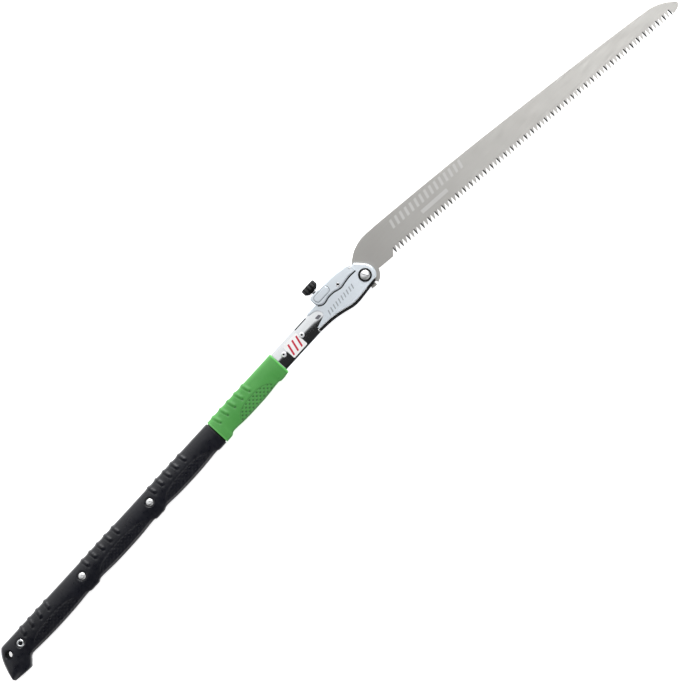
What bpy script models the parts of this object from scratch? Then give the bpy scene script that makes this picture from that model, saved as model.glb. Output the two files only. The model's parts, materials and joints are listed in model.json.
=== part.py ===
"""Large two-handed folding saw, open, lying on its side.

Lengths are in millimetres and become metres where a mesh is made.
x runs along the handle towards the blade, y towards the spine, and z is the thickness.
The saw lies on z = 0, and its pivot stands over the origin.
Across the thickness, places are given from the saw's mid-plane, which is at z = MID.
"""

import math

import bmesh
import bpy
from mathutils import Matrix, Vector

MM = 0.001
GAP = 0.3                      # running and seating clearance between neighbours
ROUND_STEPS = 28               # facets around the larger turned pieces
SMALL_STEPS = 20               # and around the smaller ones
DRILL_PHASE = 4.3              # turns a drill's facets off those of the pieces it meets, in degrees

# half thicknesses from the mid-plane
GRIP_HALF = 13.5
LEVER_HALF = 12.7
CHEEK_HALF = 9.9
CHANNEL_HALF = 8.0
SLOT_HALF = 2.1
BLADE_HALF = 1.0
MID = GRIP_HALF

# pressed channel of the handle
CHANNEL_WALL = 1.5
CHANNEL_CORNER = 4.5
CHANNEL_BELLY = -8.2
CHANNEL_REAR = -633.0
CHANNEL_FRONT = -67.0
NECK_TOP = 20.0                # outer top of the bare neck
INNER_TOP = 17.2               # outer top where the channel is swaged down inside the grips
NOSE_NOTCH_X = -89.0           # in front of this the channel's lower edges are cut back
NOSE_NOTCH_Y = -2.9

# grips
SPINE = 20.4
GRIP_FRONT = -151.5
GRIP_SEAM = -267.5
SLOT_REAR = -618.0
GRIP_SLOT_HALF = 3.5
GRIP_ROUNDING = 3.0
LIP_Y = CHANNEL_BELLY - GAP    # the grips' lips close in under the channel's edges
GRIP_BEADS = (                 # belly lobes: front end, rear end, depth of the lobe, of the swell behind it
    (-151.5, -163.0, 13.3, 13.2),
    (-256.0, -280.0, 13.8, 14.1),
    (-380.0, -395.0, 14.1, 14.2),
    (-500.0, -515.0, 14.7, 15.1),
)
BEAD_STEP = 6.0
WAIST_RISE = 1.4               # how much shallower the waists are than the swells
HANG_HOLE = (-641.5, 6.0, 4.75)
SCREW_Y = 6.3
SCREWS_X = (-386.5, -510.0)
SCREW_HEAD_R = 4.5
SCREW_SHANK_R = 1.9
SCREW_END = -9.0
SLEEVE_R = 2.9
SLEEVE_BORE_R = 2.1
SLEEVE_RIM = 11.0
SLEEVE_BORE_END = -10.5
RECESS_R = 6.0
RECESS_FLOOR = 11.5
EYELET_X = -622.5
EYELET_LIP_R = 5.0
EYELET_R = 3.4
EYELET_BORE_R = 2.5
EYELET_WEB = 5.0               # the eyelet's bore is closed between these levels

# neck rivets: the front one is a touch higher
NECK_RIVETS = ((-107.5, 7.5), (-140.4, 7.4))
RIVET_R = 1.6
RIVET_HEAD_R = 2.8

# head casting, its belly line from the rear prongs to the nose
CHEEK_TOP = 19.8
CHEEK_ROUNDING = 1.3
HEAD_NOSE_R = 13.9
HEAD_NOSE_ARC = (-67.0, 38.0)
POCKET_FRONT = -66.4           # the channel enters the casting up to here
TONGUE_REAR, TONGUE_FRONT = -150.0, -64.0
TONGUE_HALF = 6.2
TONGUE_TOP = 16.5
TONGUE_BELLY = -2.9
WEB_FRONT = -39.0              # ahead of this the slot is open right through
SLOT_CEILING = 5.5             # above the folded blade's teeth
BELLY_LINE = (
    (-86.0, -3.3), (-77.0, -3.9), (-69.0, -4.7), (-61.0, -6.1), (-53.0, -8.0),
    (-45.0, -10.3), (-37.0, -12.5), (-29.0, -13.1), (-21.0, -12.9), (-9.0, -12.2), (4.5, -11.4),
)
HEAD_ARCH = ((-84.0, 17.3), (-78.0, 15.9), (-73.0, 13.4), (-70.2, 8.5), (-72.0, 3.9), (-80.0, 1.2))
PRONG_TIP = (-88.0, -1.1)
SHOULDER_TIP = (1.6, 20.5)
BAR_NOTCH = (2.9, 2.6, 2.6)    # room behind, before and below the lock bar's middle
GUIDE_DEPTH = 2.7

# pivot
BOLT_R = 4.0
BOLT_HEAD_R = 6.3
BUSH_R = 5.5
BUSH_HALF = 1.8
BLADE_BORE_R = 5.7
RING_R = 8.3
RING_TOP = 12.0
WASHER_R = 9.5
WASHER_LEVELS = (1.25, 1.85)
BOLT_END = -12.1
NUT_BORE_END = -12.8
SPANNER_HOLES = (3.7, 0.9)     # how far out from the nut's axis, and their radius

# lever
LEVER_PIN = (-31.5, 16.5)
LEVER_PIN_R = 2.5
LEVER_SIDE_IN = 10.2
LEVER_TOP_WALL = 2.6
LEVER_TOP = (
    (-69.0, 27.5), (-66.5, 30.6), (-55.0, 30.6), (-50.0, 29.2),
    (-42.0, 29.0), (-30.0, 28.5), (-20.0, 27.0), (-10.0, 24.8), (-3.4, 21.6),
)
LEVER_BELLY = (
    (-4.2, 12.9), (-15.0, 13.6), (-25.0, 12.5), (-31.0, 11.7), (-36.0, 12.7),
    (-42.0, 14.5), (-50.0, 15.2), (-59.0, 13.7), (-63.5, 14.6), (-67.0, 17.5), (-69.0, 21.5),
)
REAR_WALL_LOW = 24.2           # the rear wall ends here, clear of the channel when the lever is pressed
TOP_WALL_END = -12.0           # the lever's top is open ahead of this, for the blade
BAR_ANGLE = 106.8              # where the lock bar stands around the pivot, in degrees
BAR_FOOT_R = 19.4
BAR_TALL = 3.0
BAR_WIDE = 3.4
SPRING_X = -46.0
SPRING_FOOT = 12.9
SPRING_HEAD = 26.0
SPRING_SEAT_R = 3.6
WIRE_R, COIL_R, COIL_TURNS, COIL_STEPS = 0.4, 2.45, 5, 10

# safety knob on its stud, partly unscrewed
KNOB_X = -58.5
STUD_R = 2.45
STUD_LOW, STUD_HIGH = 21.6, 40.7
STUD_POCKET_R = 3.8
STUD_POCKET_FLOOR = 15.0
BOSS_R = 5.5
BOSS_LOW, BOSS_HIGH = 25.5, 29.5
KNOB_LOW, KNOB_HIGH = 36.0, 44.0
KNOB_R = 10.4
FLUTES = 18
FLUTE_DEPTH = 0.55
COLLAR = ((0, 38), (8.6, 38), (8.6, 36), (7.2, 35.6), (5.4, 34.0), (4.8, 33.2), (0, 33.2))
KNOB_WASHER = (4.6, 32.1, 32.9)

# blade, in its own frame: s along the blade from the pivot, t towards the blade's spine
BLADE_TILT = -6.0              # degrees from the handle's axis
TANG_R = 19.0
TANG_BACK_R = 16.0
BLADE_SPINE = (
    (510.0, 0.0), (505.0, 3.5), (498.0, 7.7), (490.0, 11.3), (484.0, 12.9), (475.0, 14.3),
    (420.0, 18.8), (348.0, 23.8), (276.0, 28.2), (204.0, 32.2), (132.0, 35.2), (60.0, 37.4),
    (44.0, 37.7), (30.0, 37.4), (22.0, 36.1), (15.0, 33.8), (8.0, 30.4), (2.0, 26.0), (0.0, 24.4),
)
BLADE_TIP = ((500.0, -10.4), (505.0, -9.3), (509.0, -6.8), (511.2, -3.0), (510.0, 0.0))
HEEL = ((24.0, -5.6), (41.5, -6.0))
TOOTH_ROW = (47.4, 497.0)      # first and last tooth's front edge
TEETH = 83


def arc(radius, start, end, steps, centre=(0.0, 0.0)):
    """Points along an arc, angles in degrees."""
    angles = [math.radians(start + (end - start) * i / steps) for i in range(steps + 1)]
    return [(centre[0] + radius * math.cos(a), centre[1] + radius * math.sin(a)) for a in angles]


def curve_through(points, steps=4):
    """Points along a smooth open curve that passes through each given point."""
    path = [Vector(points[0]), *map(Vector, points), Vector(points[-1])]
    found = []
    for before, start, end, after in zip(path, path[1:], path[2:], path[3:]):
        for i in range(steps):
            u = i / steps
            bend = (2 * before - 5 * start + 4 * end - after) * u * u
            bend += (3 * start - before - 3 * end + after) * u**3
            found.append(tuple(start + ((end - before) * u + bend) / 2))
    return [*found, tuple(points[-1])]


def shifted(points, dx, dy):
    return [(x + dx, y + dy) for x, y in points]


def collection(name):
    made = bpy.data.collections.new(name)
    bpy.context.scene.collection.children.link(made)
    return made


def clear_scene():
    for obj in list(bpy.data.objects):
        bpy.data.objects.remove(obj)


clear_scene()
PARTS = collection("folding_saw")
CUTTERS = collection("cutters")


def finish(name, colour, metallic, roughness):
    made = bpy.data.materials.new(name)
    made.use_nodes = True
    shader = made.node_tree.nodes["Principled BSDF"]
    shader.inputs["Base Color"].default_value = (*colour, 1.0)
    shader.inputs["Metallic"].default_value = metallic
    shader.inputs["Roughness"].default_value = roughness
    return made


CHROME = finish("chrome", (0.78, 0.79, 0.80), 1.0, 0.08)
SATIN_CAST = finish("satin_cast", (0.62, 0.66, 0.70), 0.9, 0.36)
BLADE_STEEL = finish("blade_steel", (0.55, 0.54, 0.51), 0.9, 0.38)
BRIGHT_STEEL = finish("bright_steel", (0.62, 0.62, 0.63), 1.0, 0.2)
SPRING_STEEL = finish("spring_steel", (0.35, 0.35, 0.37), 1.0, 0.3)
BLACK_OXIDE = finish("black_oxide", (0.02, 0.02, 0.022), 0.6, 0.4)
BLACK_PLASTIC = finish("black_plastic", (0.015, 0.015, 0.016), 0.0, 0.45)
KNOB_PLASTIC = finish("knob_plastic", (0.028, 0.028, 0.03), 0.0, 0.5)
GREEN_RUBBER = finish("green_rubber", (0.09, 0.38, 0.08), 0.0, 0.6)
BLACK_RUBBER = finish("black_rubber", (0.022, 0.022, 0.026), 0.0, 0.62)
LABEL_FILM = finish("label_film", (0.82, 0.80, 0.80), 0.0, 0.4)
BRASS = finish("brass", (0.62, 0.46, 0.2), 1.0, 0.3)


def show(name, mesh, look):
    """A new part with this mesh."""
    obj = bpy.data.objects.new(name, mesh)
    mesh.materials.clear()
    mesh.materials.append(look)
    PARTS.objects.link(obj)
    return obj


def as_cutter(obj):
    """Turns a shape into a helper that is only cut with or joined on."""
    PARTS.objects.unlink(obj)
    CUTTERS.objects.link(obj)
    obj.hide_render = True
    obj.display_type = "WIRE"
    return obj


def combine(obj, operation, others):
    for other in others:
        step = obj.modifiers.new(other.name, "BOOLEAN")
        step.operation = operation
        step.object = other
    return obj


def cut(obj, *cutters):
    return combine(obj, "DIFFERENCE", [as_cutter(c) for c in cutters])


def join(obj, *additions):
    return combine(obj, "UNION", [as_cutter(a) for a in additions])


def plate(name, outline, low, high, look=BLACK_PLASTIC, rounding=0.0, round_steps=1):
    """A flat piece with this outline, between two levels from the mid-plane, with rounded edges."""
    curve = bpy.data.curves.new(name, "CURVE")
    curve.dimensions = "2D"
    curve.fill_mode = "BOTH"
    curve.extrude = ((high - low) / 2 - rounding) * MM
    curve.bevel_depth = rounding * MM
    curve.offset = -rounding * MM
    curve.bevel_resolution = round_steps
    spline = curve.splines.new("POLY")
    spline.points.add(len(outline) - 1)
    for point, (x, y) in zip(spline.points, outline):
        point.co = (x * MM, y * MM, 0.0, 1.0)
    spline.use_cyclic_u = True
    return meshed(name, curve, Matrix.Translation((0, 0, (MID + (low + high) / 2) * MM)), look)


def meshed(name, curve, place, look):
    """The closed mesh of a curve, with its caps welded on, baked at its place."""
    source = bpy.data.objects.new(name + "_curve", curve)
    bpy.context.scene.collection.objects.link(source)
    graph = bpy.context.evaluated_depsgraph_get()
    mesh = bpy.data.meshes.new_from_object(source.evaluated_get(graph))
    bpy.data.objects.remove(source)
    bpy.data.curves.remove(curve)
    work = bmesh.new()
    work.from_mesh(mesh)
    bmesh.ops.remove_doubles(work, verts=work.verts, dist=1e-6)
    bmesh.ops.dissolve_degenerate(work, edges=work.edges, dist=1e-6)
    bmesh.ops.recalc_face_normals(work, faces=work.faces)
    bmesh.ops.transform(work, matrix=place, verts=work.verts)
    work.to_mesh(mesh)
    work.free()
    return show(name, mesh, look)


def block(name, low, high, look=BLACK_PLASTIC, turn=0.0):
    """A box between two corners (x, y, level), turned about its own middle in the side view."""
    low, high = Vector(low), Vector(high)
    work = bmesh.new()
    bmesh.ops.create_cube(work, size=MM)
    bmesh.ops.scale(work, vec=high - low, verts=work.verts)
    mesh = bpy.data.meshes.new(name)
    work.to_mesh(mesh)
    work.free()
    obj = show(name, mesh, look)
    obj.location = ((low + high) / 2 + Vector((0, 0, MID))) * MM
    obj.rotation_euler.z = math.radians(turn)
    return obj


def turned(
    name, profile, x, y, look=BLACK_PLASTIC, steps=ROUND_STEPS, closed=False, upright=False, phase=0.0
):
    """A turned piece. The profile's points are (radius, height), down its outer side.

    Its axis is the thickness, with heights from the mid-plane, or runs along y when upright.
    """
    mesh = bpy.data.meshes.new(name)
    count = len(profile)
    edges = [(i, i + 1) for i in range(count - 1)]
    if closed:
        edges.append((count - 1, 0))
    mesh.from_pydata([(radius * MM, 0.0, height * MM) for radius, height in profile], edges, [])
    mesh.transform(Matrix.Rotation(math.radians(phase), 4, "Z"))
    obj = show(name, mesh, look)
    spin = obj.modifiers.new("turn", "SCREW")
    spin.steps = spin.render_steps = steps
    spin.use_merge_vertices = True
    spin.merge_threshold = 1e-6
    spin.use_smooth_shade = True
    obj.location = Vector((x, 0.0 if upright else y, MID)) * MM
    if upright:
        obj.rotation_euler.x = -math.pi / 2
    return obj


def rod(name, x, y, radius, low, high, look=BLACK_PLASTIC, chamfer=0.0, steps=SMALL_STEPS, upright=False):
    inner = radius - chamfer
    profile = [(0, high), (inner, high), (radius, high - chamfer)]
    profile += [(radius, low + chamfer), (inner, low), (0, low)]
    if not chamfer:
        profile = [(0, high), (radius, high), (radius, low), (0, low)]
    return turned(name, profile, x, y, look, steps, upright=upright)


def ring(name, x, y, inner, outer, low, high, look, chamfer=0.0, steps=ROUND_STEPS, upright=False):
    profile = [(inner, high), (outer - chamfer, high), (outer, high - chamfer)]
    profile += [(outer, low + chamfer), (outer - chamfer, low), (inner, low)]
    if not chamfer:
        profile = [(inner, high), (outer, high), (outer, low), (inner, low)]
    return turned(name, profile, x, y, look, steps, closed=True, upright=upright)


def drill(obj, x, y, radius, low=-20.0, high=20.0, upright=False, steps=SMALL_STEPS):
    """Bores a round hole across the thickness, or along y when upright."""
    profile = [(0, high), (radius, high), (radius, low), (0, low)]
    name = f"{obj.name}_drill_{len(obj.modifiers)}"
    return cut(obj, turned(name, profile, x, y, steps=steps, upright=upright, phase=DRILL_PHASE))


def loft(name, sections, look):
    """A bar through closed sections of equally many (x, y, level) points."""
    work = bmesh.new()
    rings = [[work.verts.new(Vector((x, y, z + MID)) * MM) for x, y, z in section] for section in sections]
    for here, there in zip(rings, rings[1:]):
        for i, corner in enumerate(here):
            work.faces.new((here[i - 1], corner, there[i], there[i - 1]))
    work.faces.new(rings[0])
    work.faces.new(rings[-1])
    bmesh.ops.recalc_face_normals(work, faces=work.faces)
    mesh = bpy.data.meshes.new(name)
    work.to_mesh(mesh)
    work.free()
    return show(name, mesh, look)


def channel_section(x, top):
    """One closed U of the handle channel: up one side, over the spine, down the other, and back inside."""
    shoulder = top - CHANNEL_CORNER
    flat = CHANNEL_HALF - CHANNEL_CORNER
    outside = [(CHANNEL_BELLY, -CHANNEL_HALF)]
    inside = [(CHANNEL_BELLY, -CHANNEL_HALF + CHANNEL_WALL)]
    for side, angles in ((-1, (-90, 0)), (1, (0, 90))):
        centre = (shoulder, side * flat)
        outside += arc(CHANNEL_CORNER, *angles, 5, centre)
        inside += arc(CHANNEL_CORNER - CHANNEL_WALL, *angles, 5, centre)
    outside.append((CHANNEL_BELLY, CHANNEL_HALF))
    inside.append((CHANNEL_BELLY, CHANNEL_HALF - CHANNEL_WALL))
    return [(x, y, z) for y, z in outside + inside[::-1]]


def make_handle_channel():
    stations = (
        (CHANNEL_REAR, INNER_TOP),
        (GRIP_FRONT + GAP, INNER_TOP),
        (GRIP_FRONT + 2 * GAP, NECK_TOP),
        (CHANNEL_FRONT, NECK_TOP),
    )
    channel = loft("handle_channel", [channel_section(x, top) for x, top in stations], CHROME)
    cut(channel, block("channel_front_notch", (NOSE_NOTCH_X, -30, -30), (0, NOSE_NOTCH_Y, 30)))
    for x, y in NECK_RIVETS:
        drill(channel, x, y, RIVET_R + 0.1, steps=16)
    for x in SCREWS_X:
        drill(channel, x, SCREW_Y, SLEEVE_R + 0.2)
    drill(channel, EYELET_X, SCREW_Y, EYELET_R + 0.2)


def grip_belly(front, rear):
    """The belly line of a grip from front to rear: lobes, with a waist and a swell behind each."""
    points = []
    for (start, end, lobe, swell), (following, *_) in zip(GRIP_BEADS, (*GRIP_BEADS[1:], (-622.0,))):
        middle = (end + following) / 2
        waist = swell - WAIST_RISE
        points += [(start, -lobe), ((start + end) / 2, -lobe - 0.2), (end, -lobe), (end - BEAD_STEP, -waist)]
        points += [(middle, -swell), (following + BEAD_STEP, -waist)]
    line = curve_through(points, 2)
    margin = GRIP_ROUNDING + 1.5
    inside = [p for p in line if rear + margin < p[0] < front - margin]
    return [(front, inside[0][1]), *inside, (rear, inside[-1][1])]


def hollow_out(grip, front, cavity_rear, slot_rear):
    """Cuts a grip's seat for the channel and the blade's way in between its lips."""
    seat_half, seat_top = CHANNEL_HALF + GAP, INNER_TOP + GAP
    cavity = block(grip.name + "_cavity", (cavity_rear, LIP_Y, -seat_half), (front, seat_top, seat_half))
    slot = block(grip.name + "_slot", (slot_rear, -40, -GRIP_SLOT_HALF), (front, 0, GRIP_SLOT_HALF))
    cut(grip, cavity, slot)


def make_front_grip():
    front, rear = GRIP_FRONT, GRIP_SEAM + GAP / 2
    outline = [(front, SPINE), *grip_belly(front, rear), (rear, SPINE)]
    grip = plate("grip_front", outline, -GRIP_HALF, GRIP_HALF, GREEN_RUBBER, GRIP_ROUNDING)
    hollow_out(grip, front + 5, rear - 5, rear - 6)


def make_rear_grip():
    front = GRIP_SEAM - GAP / 2
    pommel = [
        (-626.0, -15.8), (-630.0, -20.0), (-635.5, -23.8), (-661.0, -20.2), (-662.4, -15.0),
        (-660.0, -6.7), (-655.2, 5.8), (-650.0, 13.8), (-643.4, SPINE),
    ]
    outline = [(front, SPINE), *grip_belly(front, -622.0), *pommel]
    grip = plate("grip_rear", outline, -GRIP_HALF, GRIP_HALF, BLACK_RUBBER, GRIP_ROUNDING)
    hollow_out(grip, front + 5, CHANNEL_REAR - GAP, SLOT_REAR)
    bores = [(x, SLEEVE_R + GAP) for x in SCREWS_X] + [(EYELET_X, EYELET_R + 0.4)]
    for x, bore in bores:
        half = [(0, 20.0), (RECESS_R, 20.0), (RECESS_R, RECESS_FLOOR), (bore, RECESS_FLOOR)]
        both = half + [(r, -h) for r, h in reversed(half)]
        cut(grip, turned(f"grip_seat_{-x:.0f}", both, x, SCREW_Y, phase=DRILL_PHASE))
    drill(grip, *HANG_HOLE)


def make_grip_fasteners():
    seat = RECESS_FLOOR + GAP
    dome = [(0, 13.2), (2.4, 13.0), (3.8, 12.6), (SCREW_HEAD_R, 12.1), (SCREW_HEAD_R, seat)]
    head = [(r, -h) for r, h in reversed(dome)]
    shank = [(SCREW_SHANK_R, seat), (SCREW_SHANK_R, SCREW_END), (0, SCREW_END)]
    bore = [(0, SLEEVE_BORE_END), (SLEEVE_BORE_R, SLEEVE_BORE_END), (SLEEVE_BORE_R, SLEEVE_RIM)]
    sleeve = [*bore, (SLEEVE_R, SLEEVE_RIM), (SLEEVE_R, -seat), *head]
    for place, x in zip(("front", "rear"), SCREWS_X):
        screw = turned(f"grip_screw_{place}", [*dome, *shank], x, SCREW_Y, BRIGHT_STEEL, SMALL_STEPS)
        low, high = (x - 6, SCREW_Y - 0.6, 12.4), (x + 6, SCREW_Y + 0.6, 15)
        cut(screw, block(f"screw_slot_{place}", low, high, turn=35))
        turned(f"grip_sleeve_nut_{place}", sleeve, x, SCREW_Y, BRIGHT_STEEL, SMALL_STEPS)
    rim = EYELET_LIP_R
    flange = [(EYELET_BORE_R, 12.7), (EYELET_R, 13.1), (4.5, 12.8), (rim, 12.2), (rim, seat), (EYELET_R, seat)]
    outside = flange + [(r, -h) for r, h in reversed(flange)]
    near, far = [(0, EYELET_WEB), (EYELET_BORE_R, EYELET_WEB)], [(EYELET_BORE_R, -EYELET_WEB), (0, -EYELET_WEB)]
    turned("butt_eyelet", [*near, *outside, *far], EYELET_X, SCREW_Y, CHROME, SMALL_STEPS)


def make_neck_fittings():
    seat = CHANNEL_HALF + GAP
    head = [(0, 9.6), (1.3, 9.5), (2.2, 9.1), (RIVET_HEAD_R, 8.5), (RIVET_HEAD_R, seat), (RIVET_R, seat)]
    for place, (x, y) in zip(("front", "rear"), NECK_RIVETS):
        turned(f"neck_rivet_{place}", head + [(r, -h) for r, h in reversed(head)], x, y, BRIGHT_STEEL, 16)
    block("neck_label", (-132.5, -5.5, CHANNEL_HALF + 0.1), (-110.6, 15.0, CHANNEL_HALF + 0.25), LABEL_FILM)


def head_outline():
    nose = arc(HEAD_NOSE_R, *HEAD_NOSE_ARC, 12)
    top = [SHOULDER_TIP, (-1.5, CHEEK_TOP), (-86.0, CHEEK_TOP)]
    return [*curve_through(BELLY_LINE, 2), *nose, *top, *curve_through(HEAD_ARCH, 3), PRONG_TIP]


def make_head_casting():
    head = plate("head_casting", head_outline(), -CHEEK_HALF, CHEEK_HALF, SATIN_CAST, CHEEK_ROUNDING)
    seat = CHANNEL_HALF + GAP
    cut(head, block("head_pocket", (-100, -40, -seat), (POCKET_FRONT, 40, seat)))
    low, high = (TONGUE_REAR, TONGUE_BELLY), (TONGUE_FRONT, TONGUE_TOP)
    corners = [low, (high[0], low[1]), high, (low[0], high[1])]
    join(head, plate("head_tongue", corners, -TONGUE_HALF, TONGUE_HALF, rounding=1.0))
    slot = [(-160, -40), (40, -40), (40, 40), (WEB_FRONT, 40), (WEB_FRONT, SLOT_CEILING), (-160, SLOT_CEILING)]
    cut(head, plate("head_slot", slot, -SLOT_HALF, SLOT_HALF))
    bar_x, bar_y = lock_bar_place()
    behind, before, below = BAR_NOTCH
    cut(head, block("bar_notch", (bar_x - behind, bar_y - below, -20), (bar_x + before, 40, 20)))
    drill(head, 0, 0, BOLT_R + 0.2)
    drill(head, *LEVER_PIN, LEVER_PIN_R + 0.15)
    for x, y in NECK_RIVETS:
        drill(head, x, y, RIVET_R + 0.1, steps=16)
    drill(head, SPRING_X, 0, SPRING_SEAT_R, SPRING_FOOT - GAP, 40, upright=True)
    drill(head, KNOB_X, 0, STUD_POCKET_R, STUD_POCKET_FLOOR, 40, upright=True)


def make_blade_guides():
    top = curve_through(shifted(BELLY_LINE, 0, -GAP), 2)
    foot = curve_through(shifted(BELLY_LINE, 0, -GAP - GUIDE_DEPTH), 2)
    outline = [*foot, *reversed(top)]
    inner, outer = SLOT_HALF + GAP, CHEEK_HALF - GAP
    plate("blade_guide_near", outline, inner, outer, BLACK_PLASTIC, 0.5)
    plate("blade_guide_far", outline, -outer, -inner, BLACK_PLASTIC, 0.5)


def make_pivot():
    seat = CHEEK_HALF + GAP
    head = [(0, 13.2), (2.5, 13.1), (4.6, 12.7), (5.8, 12.0), (BOLT_HEAD_R, 11.2), (BOLT_HEAD_R, seat)]
    shank = [(BOLT_R, seat), (BOLT_R, BOLT_END), (BOLT_R - 0.4, BOLT_END - 0.4), (0, BOLT_END - 0.4)]
    bolt = turned("pivot_bolt", [*head, *shank], 0, 0, CHROME)
    cut(bolt, block("bolt_slot", (-9, -0.7, 11.6), (9, 0.7, 15), turn=-62))
    inner = BOLT_HEAD_R + GAP
    ring("pivot_ring_near", 0, 0, inner, RING_R, seat, RING_TOP, BLACK_OXIDE, 0.5)
    ring("pivot_ring_far", 0, 0, inner, RING_R, -RING_TOP, -seat, BLACK_OXIDE, 0.5)
    bore = BOLT_R + 0.15
    cap = [(0, NUT_BORE_END), (bore, NUT_BORE_END), (bore, -seat), (BOLT_HEAD_R, -seat), (BOLT_HEAD_R, -12.9)]
    nut = turned("pivot_nut", [*cap, (5.7, -GRIP_HALF), (0, -GRIP_HALF)], 0, 0, CHROME)
    out, radius = SPANNER_HOLES
    for side in (-1, 1):
        drill(nut, side * out, 0, radius, -14.5, -13.1, steps=12)
    ring("pivot_bush", 0, 0, BOLT_R + 0.2, BUSH_R, -BUSH_HALF, BUSH_HALF, BRASS)
    low, high = WASHER_LEVELS
    ring("thrust_washer_near", 0, 0, BUSH_R + 0.4, WASHER_R, low, high, BRASS)
    ring("thrust_washer_far", 0, 0, BUSH_R + 0.4, WASHER_R, -high, -low, BRASS)


def tooth_line(s):
    """(gullet, tip) heights along the blade: the row bows gently and its teeth grow shorter."""
    along = (s - 48.0) / 450.0
    return 2.7 - 8.3 * along + 2.3 * along * along, -5.6 - 5.4 * along - 0.6 * along * along


def teeth():
    """The tooth row's outline from heel to tip, a narrow upright front and a long back to each tooth."""
    first, last = TOOTH_ROW
    points = []
    for i in range(TEETH):
        share = i / (TEETH - 1)
        front = first + (last - first) * (share * 1.045 - share * share * 0.045)
        pitch = (last - first) / (TEETH - 1) * (1.045 - 0.09 * share)
        gullet, tip = tooth_line(front)
        points += [(front - 0.15, gullet), (front + 0.45, tip), (front + 1.2, tip + 0.3)]
        points.append((front + pitch - 1.0, tooth_line(front + pitch)[0] - 0.3))
    return [*points[:-1], (500.0 - 1.2, -4.6)]


def tang():
    """The tang around the pivot: stop shoulder, relieved back, two lobes and the notch between them."""
    back = arc(TANG_BACK_R, 107, 257, 16)
    rear_lobe = arc(TANG_R, 257, 281.5, 4)
    notch = arc(15.0, 281.5, 290.5, 2)
    front_lobe = arc(TANG_R - 0.1, 291, 344, 8)
    return [(-5.6, 18.6), *back, *rear_lobe, *notch, *front_lobe]


def make_blade():
    spine = curve_through(BLADE_SPINE, 3)
    outline = [*spine, *tang(), *HEEL, *teeth(), *curve_through(BLADE_TIP, 2)[:-1]]
    blade = plate("blade", outline, -BLADE_HALF, BLADE_HALF, BLADE_STEEL)
    blade.data.transform(Matrix.Translation((0, 0, -MID * MM)))
    blade.location.z = MID * MM
    blade.rotation_euler.z = math.radians(BLADE_TILT)
    drill(blade, 0, 0, BLADE_BORE_R)


def lock_bar_place():
    middle = BAR_FOOT_R + BAR_TALL / 2
    return middle * math.cos(math.radians(BAR_ANGLE)), middle * math.sin(math.radians(BAR_ANGLE))


def make_lever():
    outline = [*curve_through(LEVER_TOP, 2), *curve_through(LEVER_BELLY, 2)]
    lever = plate("lock_lever", outline, -LEVER_HALF, LEVER_HALF, SATIN_CAST, 1.2)
    under = [(x, y - LEVER_TOP_WALL) for x, y in LEVER_TOP if -66.0 < x < TOP_WALL_END]
    rear = [(-80.0, 0.0), (-80.0, REAR_WALL_LOW), (-66.6, REAR_WALL_LOW), (-66.6, under[0][1])]
    front = [(TOP_WALL_END, under[-1][1]), (TOP_WALL_END, 40.0), (10.0, 40.0), (10.0, 0.0)]
    cut(lever, plate("lever_pocket", [*rear, *under, *front], -LEVER_SIDE_IN, LEVER_SIDE_IN))
    join(lever, rod("lever_boss", KNOB_X, 0, BOSS_R, BOSS_LOW, BOSS_HIGH, upright=True))
    drill(lever, KNOB_X, 0, STUD_R + 0.35, 10, 60, upright=True)
    drill(lever, *LEVER_PIN, LEVER_PIN_R + 0.15)
    x, y = lock_bar_place()
    half_wide, half_tall = BAR_WIDE / 2, BAR_TALL / 2
    wide, tall = half_wide + GAP / 2, half_tall + GAP / 2
    seat = [(x - wide, y - tall, -20), (x + wide, y + tall, 20)]
    cut(lever, block("bar_seat", *seat, turn=BAR_ANGLE - 90))
    bar = [(x - half_wide, y - half_tall, -12.9), (x + half_wide, y + half_tall, 12.9)]
    block("lock_bar", *bar, BRIGHT_STEEL, turn=BAR_ANGLE - 90)
    rod("lever_pin", *LEVER_PIN, LEVER_PIN_R, -13.0, 13.0, BRIGHT_STEEL, 0.4)


def make_lever_spring():
    curve = bpy.data.curves.new("lever_spring", "CURVE")
    curve.dimensions = "3D"
    curve.bevel_depth = WIRE_R * MM
    curve.bevel_resolution = 1
    curve.use_fill_caps = True
    spline = curve.splines.new("POLY")
    spline.points.add(COIL_TURNS * COIL_STEPS)
    low, high = SPRING_FOOT + WIRE_R, SPRING_HEAD - WIRE_R
    for i, point in enumerate(spline.points):
        angle = math.tau * i / COIL_STEPS
        height = low + (high - low) * i / (COIL_TURNS * COIL_STEPS)
        point.co = (COIL_R * math.cos(angle) * MM, height * MM, COIL_R * math.sin(angle) * MM, 1.0)
    meshed("lever_spring", curve, Matrix.Translation((SPRING_X * MM, 0, MID * MM)), SPRING_STEEL)


def fluted_outline():
    points = []
    for i in range(FLUTES * 4):
        angle = math.tau * i / (FLUTES * 4)
        radius = KNOB_R - FLUTE_DEPTH + FLUTE_DEPTH * math.cos(FLUTES * angle)
        points.append((radius * math.cos(angle), radius * math.sin(angle)))
    return points


def make_knob():
    half = (KNOB_HIGH - KNOB_LOW) / 2
    knob = plate("safety_knob", fluted_outline(), -half, half, KNOB_PLASTIC, 0.9, 0)
    knob.data.transform(Matrix.Translation((0, 0, -MID * MM)))
    knob.location = Vector((KNOB_X, (KNOB_LOW + KNOB_HIGH) / 2, MID)) * MM
    knob.rotation_euler.x = -math.pi / 2
    join(knob, turned("knob_collar", COLLAR, KNOB_X, 0, upright=True))
    drill(knob, KNOB_X, 0, STUD_R + 0.15, 30.0, STUD_HIGH + 0.15, upright=True)
    rod("knob_stud", KNOB_X, 0, STUD_R, STUD_LOW, STUD_HIGH, BRIGHT_STEEL, 0.4, upright=True)
    ring("knob_washer", KNOB_X, 0, STUD_R + GAP, *KNOB_WASHER, CHROME, 0.15, upright=True)


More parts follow.
